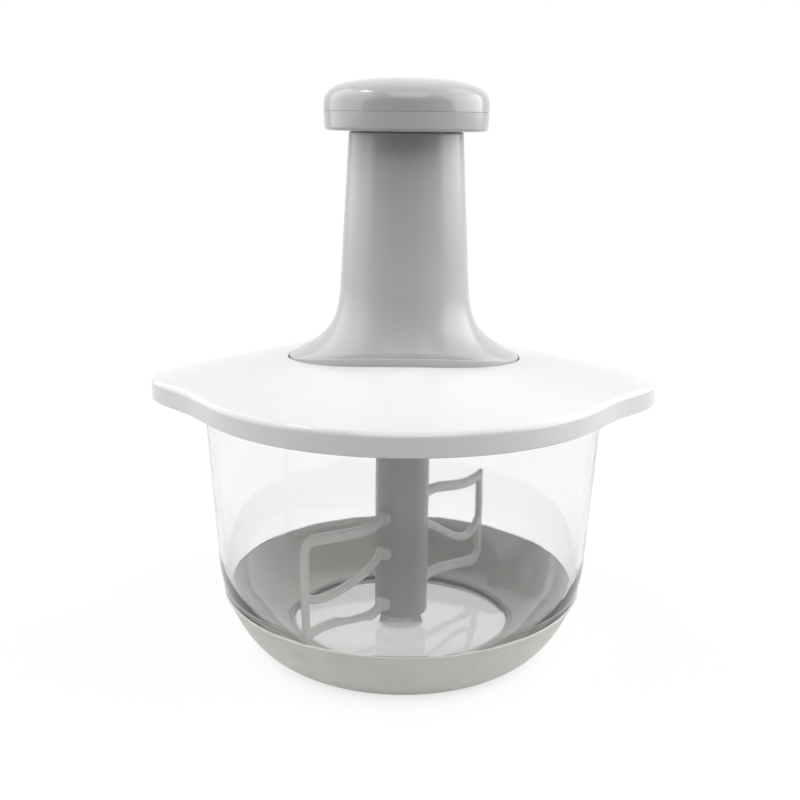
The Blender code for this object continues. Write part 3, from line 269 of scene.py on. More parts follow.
def add(tree, kind, inputs=(), out=0, **settings):
    """Adds a node with its settings; inputs are values or sockets, by place or by name."""
    node = tree.nodes.new(kind)
    for name, value in settings.items():
        setattr(node, name, value)
    for key, value in inputs.items() if isinstance(inputs, dict) else enumerate(inputs):
        if isinstance(value, bpy.types.NodeSocket):
            tree.links.new(value, node.inputs[key])
        elif value is not None:
            node.inputs[key].default_value = value
    return node.outputs[out]


def surface(name, **constants):
    """A Principled material, its constant values and its object coordinates."""
    material = bpy.data.materials.new(name)
    material.use_nodes = True
    tree = material.node_tree
    shader = tree.nodes["Principled BSDF"]
    for socket, value in constants.items():
        shader.inputs[socket.replace("_", " ")].default_value = value
    where = add(tree, "ShaderNodeTexCoord", out="Object")
    return material, tree, shader, where


def speckled(tree, where, size, colours, share=(0.3, 0.7)):
    """A colour that drifts between two hex colours over patches of a size."""
    drift = add(tree, "ShaderNodeTexNoise", {"Vector": where, "Scale": 1 / size, "Detail": 3.0})
    span = {0: drift, 1: share[0], 2: share[1]}
    amount = add(tree, "ShaderNodeMapRange", span)
    mixed = {0: amount, 6: linear(colours[0]), 7: linear(colours[1])}
    return add(tree, "ShaderNodeMix", mixed, out=2, data_type="RGBA")


def drifting(tree, where, size, least, most):
    """A value that drifts between two limits over patches of a size."""
    drift = add(tree, "ShaderNodeTexNoise", {"Vector": where, "Scale": 1 / size, "Detail": 2.0})
    return add(tree, "ShaderNodeMapRange", {0: drift, 1: 0.3, 2: 0.7, 3: least, 4: most})


def skin_bump(tree, shader, where, size, depth):
    """Fine relief of a size and depth on the whole surface."""
    grain = add(tree, "ShaderNodeTexNoise", {"Vector": where, "Scale": 1 / size, "Detail": 2.0})
    relief = {"Strength": 1.0, "Distance": depth, "Height": grain}
    bump = add(tree, "ShaderNodeBump", relief)
    tree.links.new(bump, shader.inputs["Normal"])


def moulded(name, ior, colours, patch, roughness, dull_patch, grain, share=(0.3, 0.7)):
    """A plastic as it leaves its mould: its colour drifts over patches, its roughness over
    dull patches, and its skin has a grain of a size and a depth."""
    material, tree, shader, where = surface(name, IOR=ior)
    colour = speckled(tree, where, patch, colours, share)
    tree.links.new(colour, shader.inputs["Base Color"])
    tree.links.new(drifting(tree, where, dull_patch, *roughness), shader.inputs["Roughness"])
    if grain:
        skin_bump(tree, shader, where, *grain)
    return material


def clear_san():
    """Polished clear SAN: bends and mirrors like glass, with faint flow waves from moulding.
    The boss and the foot's edge are frosted by tool marks."""
    material, tree, shader, where = surface(
        "polished_clear_SAN", IOR=1.49, Transmission_Weight=1.0, Base_Color=linear("FAFAFA")
    )
    level = add(tree, "ShaderNodeVectorMath", [where, (1, 1, 0)], operation="MULTIPLY")
    away = add(tree, "ShaderNodeVectorMath", [level], out=1, operation="LENGTH")
    roughness = drifting(tree, where, size=0.015, least=0.015, most=0.05)
    for middle, width in ((0.0, BOSS_RADIUS), (DISC_RADIUS, FOOT_FROST)):
        off = add(tree, "ShaderNodeMath", [away, middle], operation="SUBTRACT")
        off = add(tree, "ShaderNodeMath", [off], operation="ABSOLUTE")
        start, stop = (width + fade for fade in FROST_FADE)
        frost = {0: off, 1: start, 2: stop, 3: FROST_ROUGHNESS, 4: roughness}
        roughness = add(tree, "ShaderNodeMapRange", frost)
    tree.links.new(roughness, shader.inputs["Roughness"])
    skin_bump(tree, shader, where, size=0.0120, depth=0.00003)
    lamps = add(tree, "ShaderNodeLightPath", out="Is Shadow Ray")
    passed = add(tree, "ShaderNodeBsdfTransparent", {"Color": linear("F8F8F8")})
    both = {0: lamps, 1: shader.outputs["BSDF"], 2: passed}
    mixed = add(tree, "ShaderNodeMixShader", both)
    tree.links.new(mixed, tree.nodes["Material Output"].inputs["Surface"])
    return material


def drawn_steel():
    """Cold-drawn stainless steel: fine lengthwise lines that stretch the mirror image. They
    are drawn 0.3 to 0.4 mm apart, because the real ones, 0.05 mm apart, wouldn't show."""
    material, tree, shader, where = surface("drawn_stainless_steel", Metallic=1.0)
    lengthwise = add(tree, "ShaderNodeMapping", {"Vector": where, "Scale": (1.0, 1.0, 0.03)})
    colour = speckled(tree, lengthwise, size=0.0004, colours=("BDBDBB", "D2D2D0"))
    tree.links.new(colour, shader.inputs["Base Color"])
    roughness = drifting(tree, lengthwise, size=0.0003, least=0.20, most=0.34)
    tree.links.new(roughness, shader.inputs["Roughness"])
    return material


# Outlines


def bezier(start, first, second, end):
    """Points along a cubic curve, both ends included."""
    corners = [Vector(p) for p in (start, first, second, end)]
    points = []
    for i in range(CURVE_STEPS + 1):
        t = i / CURVE_STEPS
        u = 1 - t
        weights = (u**3, 3 * u * u * t, 3 * u * t * t, t**3)
        points.append(sum((w * p for w, p in zip(weights, corners)), corners[0] * 0))
    return points


def corner_curve(flat_radius, across, down, high_z, low_z):
    """Points down a superellipse from the bowl's waist to a flat radius, between two heights."""
    shares = [min((WAIST_Z - z) / down, 1.0) for z in (high_z, low_z)]
    start, stop = (math.asin(share ** (CORNER_POWER / 2)) for share in shares)
    points = []
    for i in range(CURVE_STEPS + 1):
        angle = start + (stop - start) * i / CURVE_STEPS
        radius = flat_radius + across * max(math.cos(angle), 0.0) ** (2 / CORNER_POWER)
        points.append(Vector((radius, WAIST_Z - down * math.sin(angle) ** (2 / CORNER_POWER))))
    return points


def skin_curve(high_z, low_z):
    """The outline that the bowl's corner and the soft grip share, flush with each other."""
    flat_radius = FLAT_RADIUS + GRIP_SOLE_WIDTH
    across = WAIST_RADIUS - flat_radius
    return corner_curve(flat_radius, across, WAIST_Z + GRIP_SOLE_CUT, high_z, low_z)


def rounded(corners):
    """An outline whose inner (radius, z, rounding) corners are turned into arcs."""
    points = []
    for i, corner in enumerate(corners):
        here = Vector(corner[:2])
        rounding = corner[2] if len(corner) > 2 else 0
        if rounding == 0 or i in (0, len(corners) - 1):
            points.append(here)
            continue
        back = (Vector(corners[i - 1][:2]) - here).normalized()
        ahead = (Vector(corners[i + 1][:2]) - here).normalized()
        half = back.angle(ahead) / 2
        centre = here + (back + ahead).normalized() * rounding / math.sin(half)
        start = here + back * rounding / math.tan(half) - centre
        stop = here + ahead * rounding / math.tan(half) - centre
        turn = math.atan2(start.x * stop.y - start.y * stop.x, start.dot(stop))
        for k in range(CORNER_STEPS + 1):
            points.append(centre + Matrix.Rotation(turn * k / CORNER_STEPS, 2) @ start)
    return points


# Shapes


def new_rule(name, sizes):
    """A geometry tree with named inputs, given as kinds of socket."""
    tree = bpy.data.node_groups.new(name, "GeometryNodeTree")
    tree.interface.new_socket("Geometry", in_out="INPUT", socket_type="NodeSocketGeometry")
    for label, kind in sizes.items():
        tree.interface.new_socket(label, in_out="INPUT", socket_type=f"NodeSocket{kind}")
    tree.interface.new_socket("Geometry", in_out="OUTPUT", socket_type="NodeSocketGeometry")
    return tree, tree.nodes.new("NodeGroupInput").outputs


def end_rule(tree, shape, material):
    """Ends a tree with real geometry in its material."""
    real = add(tree, "GeometryNodeRealizeInstances", [shape])
    painted = add(tree, "GeometryNodeSetMaterial", {"Geometry": real, "Material": material})
    output = tree.nodes.new("NodeGroupOutput")
    tree.links.new(painted, output.inputs[0])
    return tree


def row_grid(tree, rows, segments):
    """A grid with a row for each point of a mesh, closed round with a number of segments, and
    the row and the column of each of its points."""
    count = add(tree, "GeometryNodeAttributeDomainSize", [rows])
    columns = add(tree, "FunctionNodeIntegerMath", [segments, 1], operation="ADD")
    grid = add(tree, "GeometryNodeMeshGrid", [1.0, 1.0, count, columns])
    index = add(tree, "GeometryNodeInputIndex")
    row = add(tree, "FunctionNodeIntegerMath", [index, columns], operation="DIVIDE_FLOOR")
    column = add(tree, "FunctionNodeIntegerMath", [index, columns], operation="MODULO")
    return grid, row, column


def blank_of(name, mesh):
    """An object that carries a mesh while modifiers shape it."""
    blank = bpy.data.objects.new(name + "_blank", mesh)
    bpy.context.collection.objects.link(blank)
    return blank


def shaped(blank):
    """The plain mesh that the modifiers of a blank make; the blank goes."""
    depsgraph = bpy.context.evaluated_depsgraph_get()
    mesh = bpy.data.meshes.new_from_object(blank.evaluated_get(depsgraph))
    bpy.data.objects.remove(blank)
    return mesh


def grown(name, base, tree, **sizes):
    """The plain mesh that a geometry tree makes of a base mesh."""
    blank = blank_of(name, base)
    modifier = blank.modifiers.new("rule", "NODES")
    modifier.node_group = tree
    for item in tree.interface.items_tree:
        if item.in_out == "INPUT" and item.name in sizes:
            modifier[item.identifier] = sizes[item.name]
    return shaped(blank)


def evened(name, mesh):
    """The mesh with normals that follow its large faces, so that walls shade flat to their
    rounded edges."""
    blank = blank_of(name, mesh)
    even = blank.modifiers.new("even", "WEIGHTED_NORMAL")
    even.keep_sharp = True
    even.weight = 100
    return shaped(blank)


def piece(name, mesh, body, nodes, material=None, sharp=SHARP_ANGLE):
    """A finished piece of the object: normals outwards, smooth, riding on its body in the
    place of its CAD nodes."""
    bm = bmesh.new()
    bm.from_mesh(mesh)
    bmesh.ops.remove_doubles(bm, verts=bm.verts, dist=SAME_POINT)
    bmesh.ops.recalc_face_normals(bm, faces=bm.faces)
    bm.to_mesh(mesh)
    bm.free()
    if material:
        mesh.materials.clear()
        mesh.materials.append(material)
    mesh.shade_smooth()
    mesh.set_sharp_from_angle(angle=math.radians(sharp))
    made = bpy.data.objects.new(name, evened(name, mesh))
    bpy.context.collection.objects.link(made)
    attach(made, body)
    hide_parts(*nodes)


def turned_rule():
    """Turns an outline of points round the Z axis."""
    tree, given = new_rule("turned_outline", {"Segments": "Int", "Material": "Material"})
    outline = given["Geometry"]
    grid, row, column = row_grid(tree, outline, given["Segments"])
    place = add(tree, "GeometryNodeInputPosition")
    picked = {"Geometry": outline, "Value": place, "Index": row}
    at = add(tree, "GeometryNodeSampleIndex", picked, data_type="FLOAT_VECTOR")
    share = add(tree, "ShaderNodeMath", [column, given["Segments"]], operation="DIVIDE")
    angle = add(tree, "ShaderNodeMath", [share, math.tau], operation="MULTIPLY")
    spin = {"Vector": at, "Angle": angle}
    spun = add(tree, "ShaderNodeVectorRotate", spin, rotation_type="Z_AXIS")
    wall = add(tree, "GeometryNodeSetPosition", {"Geometry": grid, "Position": spun})
    weld = {"Geometry": wall, "Distance": SAME_PLACE}
    closed = add(tree, "GeometryNodeMergeByDistance", weld)
    return end_rule(tree, closed, given["Material"])


def outline_mesh(name, points):
    """A base mesh of bare points in the XZ plane."""
    mesh = bpy.data.meshes.new(name)
    mesh.from_pydata([(x, 0.0, z) for x, z in points], [], [])
    return mesh


def turned(name, outline, material, ring=False):
    """A turned mesh; a ring's outline ends where it starts."""
    points = outline + outline[:1] if ring else outline
    sizes = {"Segments": ROUND_STEPS, "Material": material}
    return grown(name, outline_mesh(name, points), turned_tree, **sizes)


def ring_mesh(name, rings, closed=False):
    """A mesh from rings of equally many points; closed joins the last ring to the first."""
    bm = bmesh.new()
    loops = [[bm.verts.new(point) for point in ring] for ring in rings]
    pairs = list(zip(loops, loops[1:]))
    if closed:
        pairs.append((loops[-1], loops[0]))
    for lower, upper in pairs:
        for i in range(len(lower)):
            j = (i + 1) % len(lower)
            bm.faces.new((lower[i], lower[j], upper[j], upper[i]))
    if not closed:
        bm.faces.new(loops[0])
        bm.faces.new(loops[-1])
    mesh = bpy.data.meshes.new(name)
    bm.to_mesh(mesh)
    bm.free()
    return mesh


# Bowl


def make_bowl():
    """The clear bowl: foot disc, bulging corner, wall, rim, stepped floor and centre boss."""
    across = WAIST_RADIUS - FLAT_RADIUS
    down = WAIST_Z - BASE_Z
    ledge_z = GRIP_TOP_Z + GRIP_GAP
    inner_floor_z = BASE_Z + BOWL_FLOOR
    outline = [(0, DISC_LOW_Z), (DISC_RADIUS, DISC_LOW_Z, BOWL_ROUNDING / 2), (DISC_RADIUS, BASE_Z)]
    outline += corner_curve(FLAT_RADIUS, across, down, ledge_z, BASE_Z)[::-1]
    outline += skin_curve(WAIST_Z, ledge_z)[::-1]
    outline += [(RIM_RADIUS, RIM_Z, BOWL_ROUNDING), (RIM_RADIUS - BOWL_WALL, RIM_Z, BOWL_ROUNDING)]
    outline += corner_curve(
        FLAT_RADIUS, across - BOWL_WALL, down - BOWL_FLOOR, WAIST_Z, inner_floor_z
    )
    step = DISC_RADIUS - FLOOR_STEP
    outline += [(step, inner_floor_z, BOWL_ROUNDING), (step, FLOOR_Z, BOWL_ROUNDING)]
    outline += [(BOSS_RADIUS, FLOOR_Z, BOWL_ROUNDING)]
    outline += [(BOSS_RADIUS - BOSS_TAPER, FLOOR_Z + BOSS_HEIGHT, BOWL_ROUNDING)]
    outline += [(PIN_HOLE, FLOOR_Z + BOSS_HEIGHT), (PIN_HOLE, low("pivot_pin"))]
    outline += [(0, low("pivot_pin"))]
    mesh = turned("bowl", rounded(outline), clear)
    piece("clear_bowl", mesh, "bowl", ["bowl"])


def make_grip():
    """The soft ring round the bowl's corner, open under the foot disc."""
    across = WAIST_RADIUS - FLAT_RADIUS + GRIP_GAP
    down = WAIST_Z - BASE_Z + GRIP_GAP
    sole_z = BASE_Z - GRIP_GAP
    inner = corner_curve(FLAT_RADIUS, across, down, GRIP_TOP_Z, sole_z)[::-1]
    outer = skin_curve(GRIP_TOP_Z - GRIP_LIP_HEIGHT, 0)
    lip_radius = skin_curve(GRIP_TOP_Z, 0)[0].x + GRIP_LIP
    hole = DISC_RADIUS + PLAY
    outline = [*inner, (lip_radius - GRIP_LIP / 2, GRIP_TOP_Z, GRIP_LIP / 4)]
    outline += [(lip_radius, GRIP_TOP_Z - GRIP_LIP / 2, GRIP_LIP / 4)]
    outline += [*outer[:-1], (*outer[-1], GRIP_LIP / 2)]
    outline += [(hole, 0.0, GRIP_LIP / 2), (hole, sole_z)]
    mesh = turned("grip", rounded(outline), rubber, ring=True)
    piece("soft_grip", mesh, "bowl", ["grip_base"])


# Beater


def hexagon_radius(corner, angle):
    """Distance of a hexagon's side from the axis."""
    from_flat = (angle + math.pi / 6) % (math.pi / 3) - math.pi / 6
    return corner * math.cos(math.pi / 6) / math.cos(math.pi / 6 - abs(from_flat))


def round_ring(radius, z, steps=SMALL_STEPS):
    """A level ring; the radius is a number or a rule of the angle."""
    angles = [math.tau * i / steps for i in range(steps)]
    radii = [radius(a) if callable(radius) else radius for a in angles]
    return [Vector((r * math.cos(a), r * math.sin(a), z)) for r, a in zip(radii, angles)]


def make_shaft():
    """The beater's tube, with a hexagonal socket at its top for the drive's stub."""
    outline = [
        (SHAFT_BORE, SHAFT_LOW_Z),
        (SHAFT_RADIUS, SHAFT_LOW_Z, SHAFT_ROUNDING),
        (SHAFT_RADIUS, SHAFT_TOP_Z, SHAFT_ROUNDING),
        (SHAFT_RADIUS - 2 * SHAFT_ROUNDING, SHAFT_TOP_Z),
    ]
    rings = [round_ring(radius, z) for radius, z in rounded(outline)]
    mouth = SHAFT_TOP_Z - SHAFT_ROUNDING

    def socket(angle):
        return hexagon_radius(SOCKET_CORNER, angle)

    def chamfer(angle):
        return socket(angle) + SHAFT_ROUNDING

    rings += [round_ring(chamfer, SHAFT_TOP_Z), round_ring(socket, mouth)]
    rings += [round_ring(socket, SOCKET_LOW_Z), round_ring(SHAFT_BORE, SOCKET_LOW_Z)]
    mesh = ring_mesh("shaft", rings, closed=True)
    # The shaft's darker grey is painted shade from the lid
    piece("shaft", mesh, "beater", ["beater_shaft"], shaft_grey_painted_shade)


def flanks(line, widths):
    """Pairs of points on the left and the right of a centre line, a width apart."""
    pairs = []
    points = [Vector(point) for point in line]
    for i, (point, width) in enumerate(zip(points, widths)):
        along = (points[min(i + 1, len(points) - 1)] - points[max(i - 1, 0)]).normalized()
        side = Vector((-along.y, along.x)) * width / 2
        pairs.append((point + side, point - side))
    return pairs


def swept(pairs, thickness):
    """Rings of a bar with well-rounded edges through pairs of (reach, z) points."""
    rings = []
    for a, b in pairs:
        middle = (a + b) / 2
        half = (a - b) / 2
        half = half.normalized() * (half.length + MELT_LOSS)
        ring = []
        for k in range(BAR_STEPS):
            angle = math.tau * k / BAR_STEPS
            wide = math.copysign(abs(math.cos(angle)) ** EDGE_POWER, math.cos(angle))
            deep = math.copysign(abs(math.sin(angle)) ** EDGE_POWER, math.sin(angle))
            spot = middle + half * wide
            ring.append(Vector((spot.x, deep * (thickness / 2 + MELT_LOSS), spot.y)))
        rings.append(ring)
    return rings


def arm(heights, shares, end):
    """The centre line of an arm from its root in the shaft to its end, as (reach, z) points."""
    stub = SHAFT_RADIUS + PADDLE_STUB
    first, second = (stub + (end - stub) * share for share in shares)
    root = Vector((SHAFT_RADIUS - ARM_ROOT, heights[0]))
    return [root, *bezier(*zip((stub, first, second, end), heights))]


def hoop_pairs(bar):
    """Outer and inner points of a hoop whose bar stands at a reach from the axis: top arm,
    rounded corner, bar, sharp heel, bottom arm."""
    line = arm(TOP_ARM_HEIGHTS, TOP_ARM_SHARES, bar - PADDLE_CORNER)
    widths = [ARM_HEIGHT] * len(line)
    bend = Vector((bar - PADDLE_CORNER, TOP_ARM_HEIGHTS[-1] - PADDLE_CORNER))
    for i in range(1, 2 * CORNER_STEPS + 1):
        share = i / (2 * CORNER_STEPS)
        angle = math.pi / 2 * (1 - share)
        line.append(bend + PADDLE_CORNER * Vector((math.cos(angle), math.sin(angle))))
        widths.append(ARM_HEIGHT + share * (BAR_WIDTH - ARM_HEIGHT))
    heel_z = BOTTOM_ARM_HEIGHTS[-1]
    line.append(Vector((bar, heel_z + ARM_HEIGHT)))
    widths.append(BAR_WIDTH)
    back = arm(BOTTOM_ARM_HEIGHTS, BOTTOM_ARM_SHARES, bar - BAR_WIDTH)[::-1]
    outer = Vector((bar + BAR_WIDTH / 2, heel_z - ARM_HEIGHT / 2 - PADDLE_HEEL))
    inner = Vector((bar - BAR_WIDTH / 2, heel_z + ARM_HEIGHT / 2 + BAR_WIDTH / 4))
    return flanks(line, widths) + [(outer, inner)] + flanks(back, [ARM_HEIGHT] * len(back))


def melted(name, mesh):
    """A mesh whose overlapping bars have flowed into one moulding with soft joints."""
    blank = blank_of(name, mesh)
    melt = blank.modifiers.new("melt", "REMESH")
    melt.mode = "VOXEL"
    melt.voxel_size = MELT_VOXEL
    soften = blank.modifiers.new("soften", "SMOOTH")
    soften.factor = 0.5
    soften.iterations = MELT_ROUNDS
    return shaped(blank)


def make_paddle(side, turn, turned_over):
    """A paddle: the hoop, which the right one has turned over, the middle arm and the tabs."""
    bar = PADDLE_REACHES[side]
    hoop = hoop_pairs(bar)
    roots = [TOP_ARM_HEIGHTS[0], BOTTOM_ARM_HEIGHTS[0]]
    if turned_over:
        over = 2 * HOOP_MIDDLE_Z
        hoop = [[Vector((p.x, over - p.y)) for p in pair] for pair in hoop]
        roots = [over - z for z in roots]
    roots.append(MIDDLE_HEIGHTS[side][0])
    middle = arm(MIDDLE_HEIGHTS[side], MIDDLE_SHARES[side], bar - BAR_WIDTH / 4)
    bars = [
        swept(hoop, PADDLE_THICKNESS),
        swept(flanks(middle, [MIDDLE_ARM_HEIGHT] * len(middle)), PADDLE_THICKNESS),
    ]
    for z in roots:
        ends = (SHAFT_RADIUS - TAB_REACH, z), (SHAFT_RADIUS + TAB_REACH, z)
        bars.append(swept(flanks(ends, (TAB_HEIGHT, TAB_HEIGHT)), TAB_WIDTH))
    bm = bmesh.new()
    for rings in bars:
        bm.from_mesh(ring_mesh("bar", rings))
    bmesh.ops.recalc_face_normals(bm, faces=bm.faces)
    mesh = bpy.data.meshes.new(f"whisk_{side}")
    bm.to_mesh(mesh)
    bm.free()
    mesh = melted(f"whisk_{side}", mesh)
    mesh.transform(Matrix.Rotation(PADDLE_ANGLE + turn, 4, "Z"))
    nodes = [f"whisk_paddle_{side}"]
    piece(f"whisk_{side}", mesh, "beater", nodes, satin, SHARP_PADDLE_ANGLE)


# Lid


# Each value of the lid's rule, as its name, an operation and what it works on
LID_FORMULAS = (
    ("turn", "DIVIDE", "column", "Segments"),
    ("angle", "MULTIPLY", "turn", math.tau),
    ("across", "COSINE", "angle"),
    ("along", "SINE", "angle"),
    ("across squared", "POWER", "across", 2.0),
    ("along squared", "POWER", "along", 2.0),
    # The outline: a round that swells towards its sides, with a bell-shaped ear on each
    ("spare", "SUBTRACT", "Half Length", "Half Depth"),
    ("ear length", "SUBTRACT", "spare", "Side Swell"),
    ("swell", "MULTIPLY", "Side Swell", "across squared"),
    ("side", "ADD", "Half Depth", "swell"),
    ("off the ear", "ABSOLUTE", "along"),
    ("angle off the ear", "ARCSINE", "off the ear"),
    ("spread", "DIVIDE", "angle off the ear", "Ear Spread"),
    ("spread squared", "POWER", "spread", 2.0),
    ("fall", "MULTIPLY", "spread squared", -1.0),
    ("ear", "EXPONENT", "fall"),
    ("outline", "MULTIPLY_ADD", "ear length", "ear", "side"),
    # The oval well that holds the column's foot
    ("deep", "MULTIPLY", "Well Depth", "across"),
    ("deep squared", "POWER", "deep", 2.0),
    ("wide", "MULTIPLY", "Well Length", "along"),
    ("wide squared", "POWER", "wide", 2.0),
    ("squares", "ADD", "deep squared", "wide squared"),
    ("root", "SQRT", "squares"),
    ("both halves", "MULTIPLY", "Well Length", "Well Depth"),
    ("well", "DIVIDE", "both halves", "root"),
    # A row's reach between the two, and its height on the crown that falls from well to outline
    ("outline part", "MULTIPLY_ADD", "outline", "outline share", "margin"),
    ("radius", "MULTIPLY_ADD", "well", "well share", "outline part"),
    ("past the well", "SUBTRACT", "radius", "well"),
    ("span", "SUBTRACT", "outline", "well"),
    ("reached", "DIVIDE", "past the well", "span"),
    ("not below 0", "MAXIMUM", "reached", 0.0),
    ("not above 1", "MINIMUM", "not below 0", 1.0),
    ("fallen", "POWER", "not above 1", "Crown Power"),
    ("rise", "SUBTRACT", 1.0, "fallen"),
    ("front", "MULTIPLY", "Front Rise", "along squared"),
    ("top", "ADD", "Crown Height", "front"),
    ("crown", "MULTIPLY", "top", "rise"),
    ("height", "MULTIPLY_ADD", "crown", "crown share", "base height"),
    ("x", "MULTIPLY", "radius", "across"),
    ("y", "MULTIPLY", "radius", "along"),
)


def lid_rule():
    """Bends rows of points round the lid: each row's share of the outline and of the well's
    oval, its margin, its height and whether the crown lifts it come with the base mesh."""
    sizes = ("Half Length", "Half Depth", "Side Swell", "Ear Spread", "Well Length", "Well Depth")
    more = ("Crown Height", "Front Rise", "Crown Power")
    labels = {name: "Float" for name in (*sizes, *more)}
    tree, given = new_rule("eared_lid", {**labels, "Segments": "Int", "Material": "Material"})
    values = {label: given[label] for label in (*labels, "Segments")}
    rows = given["Geometry"]
    grid, row, values["column"] = row_grid(tree, rows, given["Segments"])

    place = add(tree, "GeometryNodeInputPosition")
    kept = {"Name": "extra"}
    extra = add(tree, "GeometryNodeInputNamedAttribute", kept, data_type="FLOAT_VECTOR")
    carried = {
        place: ("outline share", "well share", "base height"),
        extra: ("margin", "crown share"),
    }
    for socket, parts in carried.items():
        picked = {"Geometry": rows, "Value": socket, "Index": row}
        picked = add(tree, "GeometryNodeSampleIndex", picked, data_type="FLOAT_VECTOR")
        values.update(zip(parts, add(tree, "ShaderNodeSeparateXYZ", [picked]).node.outputs))
    for name, operation, *terms in LID_FORMULAS:
        terms = [values.get(term, term) for term in terms]
        values[name] = add(tree, "ShaderNodeMath", terms, operation=operation)

    spot = add(tree, "ShaderNodeCombineXYZ", [values[name] for name in ("x", "y", "height")])
    sheet = add(tree, "GeometryNodeSetPosition", {"Geometry": grid, "Position": spot})
    weld = {"Geometry": sheet, "Distance": SAME_PLACE}
    closed = add(tree, "GeometryNodeMergeByDistance", weld)
    return end_rule(tree, closed, given["Material"])


def lid_sheet(name, rows, material):
    """The lid rule's mesh of (outline share, well share, height, margin, crown) rows."""
    rows = rows + rows[:1]
    base = bpy.data.meshes.new(name)
    base.from_pydata([row[:3] for row in rows], [], [])
    extra = base.attributes.new("extra", "FLOAT_VECTOR", "POINT")
    for value, row in zip(extra.data, rows):
        value.vector = (row[3], row[4], 0.0)
    sizes = {
        "Half Length": LID_HALF_LENGTH,
        "Half Depth": LID_HALF_DEPTH,
        "Side Swell": SIDE_SWELL,
        "Ear Spread": EAR_SPREAD,
        "Well Length": FOOT_HALF_LENGTH + WELL_GAP,
        "Well Depth": FOOT_HALF_DEPTH + WELL_GAP,
        "Crown Height": CROWN_HEIGHT,
        "Front Rise": CROWN_FRONT_RISE,
        "Crown Power": CROWN_POWER,
        "Segments": LID_STEPS,
        "Material": material,
    }
    return grown(name, base, lid_tree, **sizes)


def make_lid():
    """The lid: skirt, rounded band, crown, well and deck, and the same again from below."""
    quarter = [math.pi / 2 * k / CORNER_STEPS for k in range(CORNER_STEPS + 1)]
    rows = [(1, 0, LID_LOW_Z + SKIRT_ROUNDING, 0, 0)]
    for a in quarter:
        margin = BAND_ROUNDING * (1 - math.cos(a))
        rows.append((1, 0, BAND_TOP_Z - BAND_ROUNDING * (1 - math.sin(a)), -margin, 1))
    for k in range(1, CROWN_STEPS):
        share = 1 - k / CROWN_STEPS
        rows.append((share, 1 - share, BAND_TOP_Z, 0, 1))
    for a in quarter:
        margin = WELL_ROUNDING * (1 - math.sin(a))
        rows.append((0, 1, BAND_TOP_Z - WELL_ROUNDING * (1 - math.cos(a)), margin, 1))
    rows += [(0, 1, DECK_TOP_Z, 0, 0), (0, 0, DECK_TOP_Z, ROD_HOLE, 0)]
    deck_low_z = DECK_TOP_Z - DECK_THICKNESS
    rows += [(0, 0, deck_low_z, ROD_HOLE, 0), (0, 1, deck_low_z, LID_WALL, 0)]
    for k in range(CROWN_STEPS // 2):
        share = k / (CROWN_STEPS // 2) * LINING_REACH
        rows.append((share, 1 - share, BAND_TOP_Z - LID_WALL, LID_WALL * (1 - share), 1))
    rows.append((1, 0, BAND_TOP_Z - BAND_ROUNDING, -SKIRT_WALL, 0))
    rows.append((1, 0, LID_LOW_Z + SKIRT_ROUNDING, -SKIRT_WALL, 0))
    rows.append((1, 0, LID_LOW_Z, SKIRT_ROUNDING - SKIRT_WALL, 0))
    rows.append((1, 0, LID_LOW_Z, -SKIRT_ROUNDING, 0))
    piece("lid", lid_sheet("lid", rows, white), "lid", ["lid_shell"])


# Column


def column_rows(wall):
    """(half length, its z, half depth, its z) rows from the neck down to the foot's lip."""
    neck = COLUMN_NECK_RADIUS * COLUMN_OVAL
    side = bezier(
        (COLUMN_NECK_RADIUS, FLARE_TOP_Z),
        (COLUMN_NECK_RADIUS + SIDE_NECK_HANDLE[0], FLARE_TOP_Z - SIDE_NECK_HANDLE[1]),
        (FOOT_HALF_LENGTH - SIDE_LIP_HANDLE[0], SIDE_LIP_Z + SIDE_LIP_HANDLE[1]),
        (FOOT_HALF_LENGTH, SIDE_LIP_Z),
    )
    front = bezier(
        (neck, FLARE_TOP_Z),
        (neck + FRONT_NECK_HANDLE[0], FLARE_TOP_Z - FRONT_NECK_HANDLE[1]),
        (FOOT_HALF_DEPTH - FRONT_LIP_HANDLE[0], FRONT_LIP_Z + FRONT_LIP_HANDLE[1]),
        (FOOT_HALF_DEPTH, FRONT_LIP_Z),
    )
    rows = []
    for k, (s, f) in enumerate(zip(side, front)):
        drop = wall * k / CURVE_STEPS
        rows.append((s.x - wall, s.y - drop, f.x - wall, f.y - drop))
    return rows


def column_ring(row):
    """An oval ring whose height blends from the sides to the front."""
    ring = []
    for i in range(ROUND_STEPS):
        across = math.cos(math.tau * i / ROUND_STEPS)
        along = math.sin(math.tau * i / ROUND_STEPS)
        z = row[1] * across**2 + row[3] * along**2
        ring.append(Vector((row[0] * across, row[2] * along, z)))
    return ring


